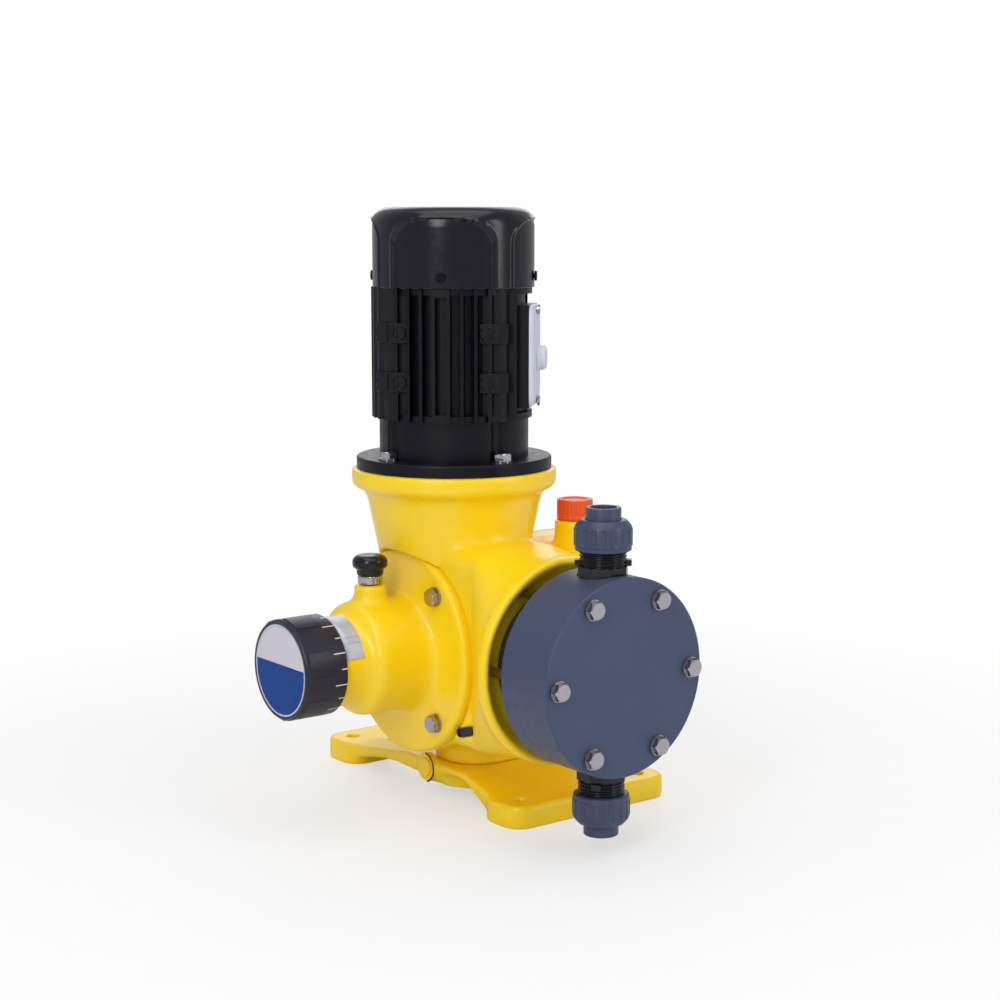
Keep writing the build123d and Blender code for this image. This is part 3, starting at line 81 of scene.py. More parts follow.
@dataclass(frozen=True)
class Finish:
    """One procedural surface finish.

    Args:
        name: The material's name.
        colour: Main colour as seen, 0 to 255.
        grain: How the surface is marked.
        metallic: 1 for bare metal.
        roughness: Middle roughness.
        spread: How far the roughness varies.
        tone: Share by which patches are darker.
        coat: Strength of a clear gloss layer.
        shine: Strength of the surface's own reflection, 0.5 for most plastics and paints.
    """

    name: str
    colour: tuple[int, int, int]
    grain: Grain
    metallic: float = 0.0
    roughness: float = 0.4
    spread: float = 0.08
    tone: float = 0.12
    coat: float = 0.0
    shine: float = 0.5

    def material(self) -> bpy.types.Material:
        """Builds the material once and returns it."""
        return bpy.data.materials.get(self.name) or self._built()

    def _built(self) -> bpy.types.Material:
        """Builds the node tree.

        Returns:
            The new material: a patchy colour, a varying roughness and the grain's bump.
        """
        material = bpy.data.materials.new(self.name)
        material.use_nodes = True
        tree = NodeTree(material.node_tree)
        shader = tree.tree.nodes["Principled BSDF"]
        shader.inputs["Metallic"].default_value = self.metallic
        shader.inputs["Specular IOR Level"].default_value = self.shine
        shader.inputs["Coat Weight"].default_value = self.coat
        shader.inputs["Coat Roughness"].default_value = 0.12
        patches = tree.noise(28, 4, 0.6)
        fine = tree.noise(160, 3, 0.5)
        main = linear(*self.colour)
        dark = tuple(c * (1 - self.tone) for c in main[:3]) + (1.0,)
        share = tree.ranged(patches, 0.42, 0.72, 0, 1)
        tree.link(tree.mixed(share, main, dark), shader.inputs["Base Color"])
        rough = tree.ranged(fine, 0.3, 0.7, self.roughness - self.spread, self.roughness + self.spread)
        tree.link(rough, shader.inputs["Roughness"])
        tree.link(self._bump(tree), shader.inputs["Normal"])
        return material

    def _bump(self, tree: "NodeTree") -> bpy.types.NodeSocket:
        """Adds the grain's relief.

        Args:
            tree: The material's node tree.

        Returns:
            The socket of the disturbed normal.
        """
        if self.grain is Grain.CAST:
            return tree.bump(tree.noise(120, 2, 0.4), 0.05, 0.0006, tree.bump(tree.noise(45, 2, 0.4), 0.09, 0.002))
        if self.grain is Grain.ENAMEL:
            return tree.bump(tree.noise(400, 2, 0.4), 0.03, 0.0004)
        if self.grain is Grain.MOULDED:
            return tree.bump(tree.noise(900, 2, 0.5), 0.05, 0.0002)
        if self.grain is Grain.RUBBED:
            return tree.bump(tree.noise(900, 4, 0.6), 0.2, 0.0003)
        return tree.bump(tree.noise(1500, 2, 0.4, stretch=(0.06, 0.06, 1.0)), 0.10, 0.0002)


class NodeTree:
    """Short calls for the nodes that the finishes use."""

    def __init__(self, tree: bpy.types.NodeTree) -> None:
        """Keeps the tree and adds its object coordinates."""
        self.tree = tree
        self.place = tree.nodes.new("ShaderNodeTexCoord").outputs["Object"]

    def link(self, output: bpy.types.NodeSocket, socket: bpy.types.NodeSocket) -> None:
        """Joins two sockets."""
        self.tree.links.new(output, socket)

    def noise(
        self, scale: float, detail: float, roughness: float, stretch: tuple[float, float, float] = (1, 1, 1)
    ) -> bpy.types.NodeSocket:
        """Adds a noise of `scale` cycles a metre.

        Args:
            scale: Cycles a metre.
            detail: Number of finer layers.
            roughness: Strength of the finer layers.
            stretch: Share of the scale along each axis.

        Returns:
            The noise's value, 0 to 1.
        """
        mapping = self.tree.nodes.new("ShaderNodeMapping")
        mapping.inputs["Scale"].default_value = stretch
        self.link(self.place, mapping.inputs["Vector"])
        node = self.tree.nodes.new("ShaderNodeTexNoise")
        node.inputs["Scale"].default_value = scale
        node.inputs["Detail"].default_value = detail
        node.inputs["Roughness"].default_value = roughness
        self.link(mapping.outputs["Vector"], node.inputs["Vector"])
        return node.outputs["Fac"]

    def ranged(
        self, value: bpy.types.NodeSocket, low: float, high: float, to_low: float, to_high: float
    ) -> bpy.types.NodeSocket:
        """Maps a value from one range to another and keeps it inside.

        Args:
            value: The value to map.
            low: Start of its range.
            high: End of its range.
            to_low: What the start becomes.
            to_high: What the end becomes.

        Returns:
            The mapped value.
        """
        node = self.tree.nodes.new("ShaderNodeMapRange")
        for name, number in zip(("From Min", "From Max", "To Min", "To Max"), (low, high, to_low, to_high)):
            node.inputs[name].default_value = number
        self.link(value, node.inputs["Value"])
        return node.outputs["Result"]

    def mixed(
        self, share: bpy.types.NodeSocket, first: tuple[float, ...], second: tuple[float, ...]
    ) -> bpy.types.NodeSocket:
        """Mixes two colours by a share.

        Args:
            share: 0 for the first colour and 1 for the second.
            first: Linear colour.
            second: Linear colour.

        Returns:
            The mixed colour.
        """
        node = self.tree.nodes.new("ShaderNodeMix")
        node.data_type = "RGBA"
        colours = [s for s in node.inputs if s.type == "RGBA"]
        colours[0].default_value = first
        colours[1].default_value = second
        self.link(share, node.inputs["Factor"])
        return next(s for s in node.outputs if s.type == "RGBA")

    def bump(
        self, height: bpy.types.NodeSocket, strength: float, depth: float, under: bpy.types.NodeSocket | None = None
    ) -> bpy.types.NodeSocket:
        """Adds a relief, over another where one is given.

        Args:
            height: Height of the relief, 0 to 1.
            strength: Share of the relief that shows.
            depth: Depth in metres.
            under: Normal of the relief below.

        Returns:
            The disturbed normal.
        """
        node = self.tree.nodes.new("ShaderNodeBump")
        node.inputs["Strength"].default_value = strength
        node.inputs["Distance"].default_value = depth
        self.link(height, node.inputs["Height"])
        if under is not None:
            self.link(under, node.inputs["Normal"])
        return node.outputs["Normal"]


YELLOW = Finish("yellow_paint", (253, 214, 10), Grain.CAST, roughness=0.34, spread=0.05, tone=0.03, coat=0.15)
MOTOR_BLACK = Finish("motor_paint", (13, 11, 22), Grain.CAST, roughness=0.36, shine=0.2)
COWL_BLACK = Finish("cowl_paint", (13, 11, 25), Grain.ENAMEL, roughness=0.2, spread=0.04, shine=0.36)
ZINC = Finish("zinc_steel", (196, 196, 200), Grain.BRUSHED, metallic=1, roughness=0.3)
STAINLESS = Finish("stainless", (176, 171, 176), Grain.BRUSHED, metallic=1, roughness=0.12, spread=0.04)
DARK_STEEL = Finish("dark_steel", (9, 8, 14), Grain.BRUSHED, roughness=0.4, shine=0.1)
MACHINED = Finish("machined_steel", (178, 178, 182), Grain.BRUSHED, metallic=1, roughness=0.34)
HARD_STEEL = Finish("hard_steel", (150, 150, 156), Grain.BRUSHED, metallic=1, roughness=0.24)
BEARING = Finish("bearing_steel", (184, 184, 190), Grain.BRUSHED, metallic=1, roughness=0.2)
SPRING = Finish("spring_steel", (120, 122, 132), Grain.BRUSHED, metallic=1, roughness=0.36)
CORE = Finish("core_steel", (110, 110, 116), Grain.BRUSHED, metallic=1, roughness=0.5)
IRON = Finish("cast_iron", (104, 104, 108), Grain.CAST, metallic=0.8, roughness=0.55)
BRONZE = Finish("bronze", (196, 150, 84), Grain.BRUSHED, metallic=1, roughness=0.34)
COPPER = Finish("copper_winding", (184, 108, 62), Grain.BRUSHED, metallic=0.9, roughness=0.4)
GREY_PVC = Finish("grey_pvc", (64, 74, 102), Grain.MOULDED, roughness=0.42, tone=0.07, shine=0.35)
UNION_PVC = Finish("union_pvc", (62, 70, 94), Grain.MOULDED, roughness=0.36, tone=0.08, shine=0.4)
BLACK_PVC = Finish("black_pvc", (13, 13, 24), Grain.MOULDED, roughness=0.22, tone=0.1, shine=0.4)
BLACK_PLASTIC = Finish("black_plastic", (40, 38, 52), Grain.MOULDED, roughness=0.32, spread=0.03, tone=0.04, shine=0.3)
LIGHT_PLASTIC = Finish("light_plastic", (208, 211, 226), Grain.MOULDED, roughness=0.4, tone=0.05)
ORANGE = Finish("orange_plastic", (235, 88, 30), Grain.MOULDED, roughness=0.36, tone=0.08)
FOIL = Finish("silver_label", (192, 196, 214), Grain.ENAMEL, metallic=0.3, roughness=0.36, tone=0.05)
DIAL_BLUE = Finish("dial_blue", (8, 62, 138), Grain.ENAMEL, roughness=0.4, tone=0.04, shine=0.12)
DIAL_WHITE = Finish("dial_white", (206, 200, 210), Grain.ENAMEL, roughness=0.34, tone=0.04)
MARK_WHITE = Finish("mark_white", (226, 226, 232), Grain.ENAMEL, roughness=0.45, tone=0.05)
MARK_BLACK = Finish("mark_black", (26, 26, 32), Grain.ENAMEL, roughness=0.45)
RUBBER = Finish("seal_rubber", (34, 34, 36), Grain.RUBBED, roughness=0.6)
FACED = Finish("diaphragm_ptfe", (230, 230, 226), Grain.MOULDED, roughness=0.5)
SEAT_PLASTIC = Finish("valve_seat_plastic", (218, 216, 206), Grain.BRUSHED, roughness=0.45)
CERAMIC = Finish("ball_ceramic", (236, 234, 226), Grain.ENAMEL, roughness=0.15, coat=0.5)

SLOT_FINISHES = {
    finish.name: finish
    for finish in (
        YELLOW, MOTOR_BLACK, COWL_BLACK, ZINC, STAINLESS, DARK_STEEL, MACHINED, HARD_STEEL, BEARING, SPRING,
        CORE, IRON, BRONZE, COPPER, GREY_PVC, BLACK_PVC, BLACK_PLASTIC, LIGHT_PLASTIC, ORANGE, RUBBER,
        FACED, SEAT_PLASTIC, CERAMIC, FOIL,
    )
}  # fmt: skip


@dataclass(frozen=True)
class Place:
    """A local frame in millimetres about the motor's axis.

    Args:
        origin: Where local zero lies.
        x: Direction of the local X.
        z: Direction of the local Z.
    """

    origin: tuple[float, float, float]
    x: tuple[float, float, float] = (1, 0, 0)
    z: tuple[float, float, float] = (0, 0, 1)

    def put(self, points: np.ndarray) -> np.ndarray:
        """Moves local points into the row frame, in metres.

        Args:
            points: Any array whose last axis is x, y, z.

        Returns:
            The same array placed: point times (x, z cross x, z), plus the origin.
        """
        x, z = np.array(self.x, float), np.array(self.z, float)
        x, z = x / np.linalg.norm(x), z / np.linalg.norm(z)
        return (points @ np.stack([x, np.cross(z, x), z]) + self.origin + MOTOR_AXIS) * MM


def smooth(share: np.ndarray) -> np.ndarray:
    """Eased step: 3t^2 - 2t^3 of a share held between 0 and 1."""
    held = np.clip(share, 0, 1)
    return held * held * (3 - 2 * held)


def eased(corners: list[tuple[float, float]], radius: float, closed: bool = True, steps: int = 5) -> np.ndarray:
    """Outline with softened corners.

    Each corner p becomes the curve (1-t)^2 a + 2t(1-t) p + t^2 b, where a and b lie `radius` before and
    after it, or nearer on a short side. Ends of an open outline and corners on the axis stay sharp.

    Args:
        corners: Corners in order.
        radius: How far from a corner its curve starts.
        closed: Whether the last corner joins the first.
        steps: Points on each curve.

    Returns:
        The points of the outline, two numbers each.
    """
    p = np.array(corners, float)
    before, after = np.roll(p, 1, 0) - p, np.roll(p, -1, 0) - p
    long_before, long_after = np.linalg.norm(before, axis=1), np.linalg.norm(after, axis=1)
    reach = np.minimum(radius, 0.48 * np.minimum(long_before, long_after))
    reach[p[:, 0] == 0] = 0
    if not closed:
        reach[[0, -1]] = 0
    a = p + before * (reach / long_before)[:, None]
    b = p + after * (reach / long_after)[:, None]
    t = np.linspace(0, 1, steps)[None, :, None]
    return ((1 - t) ** 2 * a[:, None] + 2 * t * (1 - t) * p[:, None] + t**2 * b[:, None]).reshape(-1, 2)


def revolved(profile: np.ndarray, columns: int = 96, swell: object = None) -> np.ndarray:
    """Grid of a profile turned about Z.

    A row (r, h) and an angle a give the point (r cos a, r sin a, h), where `swell` may change r.

    Args:
        profile: Rows of radius and height.
        columns: Number of angles.
        swell: Function of radius, height and angle that returns the radius.

    Returns:
        Points with the shape (rows, columns, 3).
    """
    angle = np.linspace(0, 2 * math.pi, columns, endpoint=False)[None]
    r, h, a = np.broadcast_arrays(profile[:, :1], profile[:, 1:], angle)
    r = swell(r, h, a) if swell else r
    return np.stack([r * np.cos(a), r * np.sin(a), h], -1)


def hollows(angle: np.ndarray, count: int, share: float) -> np.ndarray:
    """Eased hollows round a rim: 1 in each hollow's middle and 0 outside `share` of each pitch."""
    phase = np.abs((angle * count / (2 * math.pi)) % 1 - 0.5)
    return smooth((share / 2 - phase) / (share / 2) * 2)


class Surface:
    """A mesh gathered from grids of points."""

    def __init__(self) -> None:
        """Starts empty."""
        self.points: list[np.ndarray] = []
        self.faces: list[np.ndarray] = []
        self.count = 0

    def grid(
        self, points: np.ndarray, wrap_rows: bool = False, wrap_columns: bool = True, keep: np.ndarray | None = None
    ) -> "Surface":
        """Adds a grid: each face joins (i, j), (i, j+1), (i+1, j+1) and (i+1, j).

        Args:
            points: Placed points with the shape (rows, columns, 3).
            wrap_rows: Whether the last row joins the first.
            wrap_columns: Whether the last column joins the first.
            keep: Which faces to keep, as (rows, columns) of the face grid.

        Returns:
            This surface.
        """
        rows, columns = points.shape[:2]
        i, j = np.arange(rows if wrap_rows else rows - 1), np.arange(columns if wrap_columns else columns - 1)
        i, j = np.meshgrid(i, j, indexing="ij")
        below, beside = (i + 1) % rows * columns, (j + 1) % columns
        quads = np.stack([i * columns + j, i * columns + beside, below + beside, below + j], -1)
        quads = quads[keep] if keep is not None else quads.reshape(-1, 4)
        self.points.append(points.reshape(-1, 3))
        self.faces.append(quads + self.count)
        self.count += rows * columns
        return self

    def blocks(self, corners: np.ndarray) -> "Surface":
        """Adds closed blocks of eight corners each.

        Args:
            corners: Placed points with the shape (blocks, 8, 3), the lower four and then the upper four.

        Returns:
            This surface.
        """
        sides = np.array([[0, 3, 2, 1], [4, 5, 6, 7], [0, 1, 5, 4], [1, 2, 6, 5], [2, 3, 7, 6], [3, 0, 4, 7]])
        start = np.arange(len(corners))[:, None, None] * 8
        self.points.append(corners.reshape(-1, 3))
        self.faces.append((sides[None] + start).reshape(-1, 4) + self.count)
        self.count += len(corners) * 8
        return self

    def mesh(self, name: str) -> bpy.types.Mesh:
        """Makes a mesh of the gathered grids, welded and with its faces outward."""
        mesh = bpy.data.meshes.new(name)
        mesh.from_pydata(np.concatenate(self.points).tolist(), [], np.concatenate(self.faces).tolist())
        work = bmesh.new()
        work.from_mesh(mesh)
        bmesh.ops.remove_doubles(work, verts=work.verts, dist=1e-6)
        bmesh.ops.recalc_face_normals(work, faces=work.faces)
        work.to_mesh(mesh)
        work.free()
        return mesh

    def piece(
        self,
        name: str,
        finish: Finish,
        body: str,
        replaces: tuple[str, ...] = (),
        slot: str | None = None,
        wall: float = 0.0,
        bevel: float = 0.0,
    ) -> bpy.types.Object:
        """Makes the mesh an object of the scene.

        Args:
            name: The piece's name.
            finish: Its surface finish.
            body: The body that it rides on.
            replaces: CAD nodes that it stands for.
            slot: The record's material slot; not used.
            wall: Thickness in millimetres that a sheet gets, inwards.
            bevel: Width in millimetres that sharp edges are rounded by.

        Returns:
            The object, at the origin.
        """
        piece = bpy.data.objects.new(name, self.mesh(name))
        bpy.context.scene.collection.objects.link(piece)
        if wall:
            modifier = piece.modifiers.new("wall", "SOLIDIFY")
            modifier.thickness = wall * MM
            modifier.offset = -1
        if bevel:
            modifier = piece.modifiers.new("bevel", "BEVEL")
            modifier.width = bevel * MM
            modifier.segments = 2
            modifier.limit_method = "ANGLE"
            modifier.angle_limit = SMOOTH_ANGLE
        return dressed(piece, finish, body, replaces)


def dressed(
    piece: bpy.types.Object, finish: Finish, body: str, replaces: tuple[str, ...]
) -> bpy.types.Object:
    """Gives a new piece its finish and its body.

    Args:
        piece: The object, at the origin.
        finish: Its surface finish.
        body: The body that it rides on.
        replaces: CAD nodes that it stands for.

    Returns:
        The same object.
    """
    piece.data.polygons.foreach_set("use_smooth", np.ones(len(piece.data.polygons), bool))
    piece.data.set_sharp_from_angle(angle=SMOOTH_ANGLE)
    piece.data.materials.append(finish.material())
    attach(piece, body)
    if replaces:
        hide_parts(*replaces)
    LOG.info("%s: %d faces on %s", piece.name, len(piece.data.polygons), body)
    return piece


@dataclass
class Castings:
    """Crankcase, base and side cover, with the soft edges and joints of painted iron castings."""

    voxel: float = 1.9
    soften_rounds: int = 3
    fill_rounds: int = 40
    names: tuple[str, ...] = ("crankcase", "side_cover", "base_frame")
    web_sides: tuple[float, float] = (-6.0, 118.0)
    web_front: tuple[float, float, float] = (-84.0, 8.0, 18.6)
    web_back: tuple[float, float, float] = (-28.0, 20.0, 29.6)
    rib_angle: float = 235.0
    slot: tuple[float, float, float] = (-46.0, -78.0, 77.0)
    slot_reach: float = 19.0
    hole_reach: float = 12.5
    foot_height: float = 19.0
    ease: float = 0.003

    def build(self, nodes: dict[str, bpy.types.Object], mounts: list[dict]) -> None:
        """Builds each casting's own surface.

        Args:
            nodes: The CAD nodes.
            mounts: The record's mounts, which give the foot holes.
        """
        holes = next(mount["dims"] for mount in mounts if mount["kind"] == "bolt_pattern")
        corners = np.array([(-1, -1), (-1, 1), (1, -1), (1, 1)])
        feet = corners * (holes["spacing_x_mm"] / 2, holes["spacing_y_mm"] / 2)
        feet = np.concatenate([feet, np.full((4, 1), self.foot_height / 2)], -1)
        slot = np.array([self.slot]) + MOTOR_AXIS
        reach = np.array([self.hole_reach] * 4 + [self.slot_reach])
        self.kept = np.concatenate([np.concatenate([feet, slot]), reach[:, None]], -1) * MM
        for name in self.names:
            self.cast(nodes[name], name)

    def added(self, name: str) -> np.ndarray:
        """Corners of the blocks that a casting gets beside its CAD form.

        The base gets a web that slopes from its front plate up to the pedestal, and the crankcase a
        shallow rib down the bowl.

        Args:
            name: The CAD node's name.

        Returns:
            Placed corners with the shape (blocks, 8, 3).
        """
        if name == "base_frame":
            (x0, x1), (y0, low0, top0), (y1, low1, top1) = self.web_sides, self.web_front, self.web_back
            lower = [(x0, y0, low0), (x1, y0, low0), (x1, y1, low1), (x0, y1, low1)]
            upper = [(x0, y0, top0), (x1, y0, top0), (x1, y1, top1), (x0, y1, top1)]
            return Place((0, 0, 0)).put(np.array([lower + upper], float))
        if name == "crankcase":
            turn = math.radians(self.rib_angle)
            place = Place((0, 0, 0), x=(math.cos(turn), math.sin(turn), 0))
            lower = [(50, -2.5, 214), (64.6, -2.5, 214), (64.6, 2.5, 214), (50, 2.5, 214)]
            upper = [(60, -2.5, 266), (75.6, -2.5, 266), (75.6, 2.5, 266), (60, 2.5, 266)]
            return place.put(np.array([lower + upper], float))
        return np.zeros((0, 8, 3))

    def cast(self, node: bpy.types.Object, name: str) -> None:
        """Makes a softened copy of one casting.

        The copy is remeshed to an even net. Each point then moves to the mean of its neighbours in
        `soften_rounds` rounds, and in `fill_rounds` more only outwards, where the net is hollow, which
        fills inner corners as a casting's fillets do.

        Args:
            node: The CAD node.
            name: Its name.
        """
        copy = bpy.data.objects.new("casting_work", node.data.copy())
        bpy.context.scene.collection.objects.link(copy)
        work = bmesh.new()
        work.from_mesh(copy.data)
        bmesh.ops.remove_doubles(work, verts=work.verts, dist=1e-6)
        blocks = self.added(name)
        if len(blocks):
            extra = Surface().blocks(blocks).mesh("blocks_work")
            work.from_mesh(extra)
            bpy.data.meshes.remove(extra)
        work.to_mesh(copy.data)
        work.free()
        remesh = copy.modifiers.new("net", "REMESH")
        remesh.mode = "VOXEL"
        remesh.voxel_size = self.voxel * MM
        mesh = bpy.data.meshes.new_from_object(copy.evaluated_get(bpy.context.evaluated_depsgraph_get()))
        bpy.data.objects.remove(copy)
        mesh.name = f"cast_{name}"
        self.relax(mesh)
        piece = bpy.data.objects.new(f"cast_{name}", mesh)
        mesh.materials.clear()
        bpy.context.scene.collection.objects.link(piece)
        dressed(piece, YELLOW, "housing", (name,))

    def relax(self, mesh: bpy.types.Mesh) -> None:
        """Rounds the net's outer corners a little and fills its inner corners, away from the kept openings.

        Args:
            mesh: The even net, changed in place.
        """
        count = len(mesh.vertices)
        points = np.empty(count * 3, np.float32)
        mesh.vertices.foreach_get("co", points)
        points = points.reshape(-1, 3).astype(float)
        edges = np.empty(len(mesh.edges) * 2, np.int32)
        mesh.edges.foreach_get("vertices", edges)
        a, b = edges.reshape(-1, 2).T
        degree = np.maximum(np.bincount(a, minlength=count) + np.bincount(b, minlength=count), 1)[:, None]

        def pull(where: np.ndarray) -> np.ndarray:
            """Step of each point to the mean of its neighbours."""
            total = np.stack(
                [np.bincount(a, where[b, k], count) + np.bincount(b, where[a, k], count) for k in range(3)], -1
            )
            return total / degree - where

        far = np.linalg.norm(points[:, None] - self.kept[None, :, :3], axis=-1) - self.kept[None, :, 3]
        free = smooth(far.min(1, keepdims=True) / self.ease)

        for _ in range(self.soften_rounds):
            points += 0.6 * pull(points)
        for _ in range(self.fill_rounds):
            mesh.vertices.foreach_set("co", points.astype(np.float32).ravel())
            mesh.update()
            normals = np.empty(count * 3, np.float32)
            mesh.vertices.foreach_get("normal", normals)
            normals = normals.reshape(-1, 3)
            step = pull(points)
            outward = np.clip((step * normals).sum(1, keepdims=True), 0, None)
            points += 0.7 * outward * normals * free
        mesh.vertices.foreach_set("co", points.astype(np.float32).ravel())
        mesh.update()


@dataclass
class PaintedCastingShade:
    """Painted shade on the castings: a black lining inside the slot in the crankcase's side, and a black ring painted
    for the shadow in the gap round the drain boss.
    """

    slot_centre: tuple[float, float, float] = (-46.0, -74.0, 75.8)
    slot_tilt: float = 17.0
    slot_half: float = 7.0
    slot_radius: float = 3.3
    slot_floor: float = 2.6
    gap_shadow_centre: tuple[float, float, float] = (-24.0, 10.0, 24.5)
    gap_shadow_radius: float = 12.9

    def build(self) -> None:
        """Builds the slot's black lining of painted shade and the drain boss's ring of painted shadow."""
        tilt = math.radians(self.slot_tilt)
        place = Place(self.slot_centre, x=(0, -math.cos(tilt), math.sin(tilt)), z=(-1, 0, 0))
        angle = np.linspace(0, 2 * math.pi, 48, endpoint=False) + 0.01
        rows = np.array([(1, -0.7), (1, -self.slot_floor), (0, -self.slot_floor)])
        share, depth = rows[:, :1], rows[:, 1:]
        x = self.slot_half * np.sign(np.cos(angle)) + self.slot_radius * np.cos(angle) * share
        y = self.slot_radius * np.sin(angle) * share
        cup = np.stack([x, y, depth + 0 * angle], -1)
        # Painted shade: a black cup lines the slot and stands for the shade in its depth.
        Surface().grid(place.put(cup)).piece("slot_shade_lining", MARK_BLACK, "housing", slot="black_plastic", wall=0.3)
        # Painted shadow: a black ring over the boss's front half stands for the shadow in the gap round the drain plug.
        r = self.gap_shadow_radius
        ring = np.array([(r - 1.5, 0), (r, 0), (r, 0.4), (r - 1.5, 0.4)])
        boss = Place(self.gap_shadow_centre, x=(0, 0, 1), z=(-1, 0, 0))
        front_half = revolved(ring)[:, 52:]
        Surface().grid(boss.put(front_half), wrap_rows=True, wrap_columns=False).piece(
            "drain_gap_shadow", MARK_BLACK, "housing", slot="black_plastic"
        )


@dataclass
class StrokeKnob:
    """Stroke knob with its gripping ribs, graduated skirt and face plate."""

    place: Place = Place((-131.4, 0, KNOB_AXIS_Z), x=(0, 0, 1), z=(-1, 0, 0))
    radius: float = 41.4
    length: float = 38.0
    lands: int = 6
    land_middle: float = -15.0
    land_half: float = 14.5
    land_height: float = 1.3
    skirt: float = 12.0
    bezel: float = 35.2
    disc_radius: float = 36.5
    border: float = 1.5
    split: float = 4.8
    marks: int = 20
    mark_width: float = 0.9
    mark_turn: float = 5.4

    def build(self) -> None:
        """Builds the knob, its marks and its face plate."""
        self.build_body()
        self.build_marks()
        self.build_plate()

    def swell(self, radius: np.ndarray, height: np.ndarray, angle: np.ndarray) -> np.ndarray:
        """Rim radius: broad raised lands with stepped edges, between the bezel and the smooth skirt."""
        pitch = 360 / self.lands
        off = np.abs((np.degrees(angle) - self.land_middle + pitch / 2) % pitch - pitch / 2)
        along = smooth((height - self.skirt) / 0.9) * smooth((self.bezel - height) / 0.9)
        land = smooth((self.land_half - off) / 1.1) * along
        rim = smooth((radius - self.disc_radius - 2) / 2)
        return radius - self.land_height * (1 - land) * rim

    def build_body(self) -> None:
        """Turns the hollow body; its rim radius follows `swell`."""
        front, r = self.length, self.radius
        outline = eased(
            [(0, 30), (11, 30), (11, 14), (16, 14), (16, 30), (37, 30), (37, 0), (r, 0), (r, 11.6), (r, 12.6),
             (r, 14.0), (r, 33.6), (r, 35.0), (r, 36.2), (r - 1.8, front), (self.disc_radius, front),
             (self.disc_radius, front - 1.2), (0, front - 1.2)],
            1.6, closed=False,
        )  # fmt: skip
        Surface().grid(self.place.put(revolved(outline, 720, self.swell))).piece(
            "knob_body", BLACK_PLASTIC, "knob", ("stroke_knob",)
        )

    def build_marks(self) -> None:
        """Sets long and short white lines round the skirt."""
        angle = np.arange(self.marks) * 2 * math.pi / self.marks + math.radians(self.mark_turn)
        length = np.where(np.arange(self.marks) % 2 == 0, 10.4, 4.8)
        half = self.mark_width / 2 / self.radius
        side = np.array([-half, half, half, -half] * 2)
        end = np.array([0, 0, 1, 1] * 2)
        rise = np.repeat([-0.1, 0.06], 4)
        a, r = angle[:, None] + side, self.radius - self.land_height + rise + 0 * angle[:, None]
        z = 1.0 + end * length[:, None]
        corners = np.stack([r * np.cos(a), r * np.sin(a), z], -1)
        Surface().blocks(self.place.put(corners)).piece("knob_marks", MARK_WHITE, "knob", slot="light_plastic")

    def build_plate(self) -> None:
        """Makes the two-colour face plate with its bright border.

        The plate is two discs' parts: between the split line and the upper or lower bow, a grid of
        share v from one to the other.
        """
        reach = self.disc_radius - self.border + 0.1
        u, v = np.meshgrid(np.linspace(-1, 1, 97), np.linspace(0, 1, 25))
        across = reach * np.sin(u * math.pi / 2)
        bow = np.sqrt(np.clip(reach**2 - across**2, 0, None))
        line = np.clip(self.split, -bow, bow)
        for name, finish, end in (("disc_upper", DIAL_WHITE, bow), ("disc_lower", DIAL_BLUE, -bow)):
            flat = np.stack([line + (end - line) * v, across, np.full_like(u, self.length - 0.3)], -1)
            Surface().grid(self.place.put(flat), wrap_columns=False).piece(
                name, finish, "knob", ("knob_disc",) if finish is DIAL_WHITE else (), slot="dial_label", wall=0.8
            )
        outer, inner, top = self.disc_radius, self.disc_radius - self.border, self.length
        ring = eased([(inner, top - 1.2), (outer, top - 1.2), (outer, top - 0.1), (inner, top - 0.15)], 0.2)
        Surface().grid(self.place.put(revolved(ring, 144)), wrap_rows=True).piece(
            "disc_border", FOIL, "knob", slot="silver_label"
        )


@dataclass
class ScaleSleeve:
    """Curved foil on the barrel behind the knob, with a plain scale."""

    radius: float = 36.0
    thick: float = 0.6
    left: float = -130.4
    right: float = -107.0
    start: float = 14.0
    end: float = 110.0
    marks: int = 11
    scale_foot: float = 34.0

    def put(self, angle: np.ndarray, along: np.ndarray, radius: np.ndarray | float) -> np.ndarray:
        """Places points by their angle up from the front (-Y), their x and their radius."""
        a = np.radians(angle)
        place = Place((0, 0, KNOB_AXIS_Z))
        return place.put(np.stack([along, -radius * np.cos(a), radius * np.sin(a)], -1))

    def build(self) -> None:
        """Builds the foil and its lines."""
        angle, along = np.meshgrid(np.linspace(self.start, self.end, 97), np.linspace(self.left, self.right, 5))
        outer = self.put(angle, along, self.radius + self.thick)
        Surface().grid(outer, wrap_columns=False).piece(
            "scale_foil", FOIL, "housing", ("scale_label",), wall=self.thick
        )
        x = np.linspace(self.left + 2, self.right - 2, self.marks)
        reach = np.where(np.arange(self.marks) % 5 == 0, 17.0, 9.0)
        half = np.array([-0.3, 0.3, 0.3, -0.3] * 2)
        end = np.array([0, 0, 1, 1] * 2)
        radius = self.radius + self.thick + np.repeat([-0.1, 0.05], 4)
        corners = self.put(self.scale_foot + end * reach[:, None], x[:, None] + half, radius[None] + 0 * x[:, None])
        Surface().blocks(corners).piece("scale_marks", MARK_BLACK, "housing", slot="black_plastic")


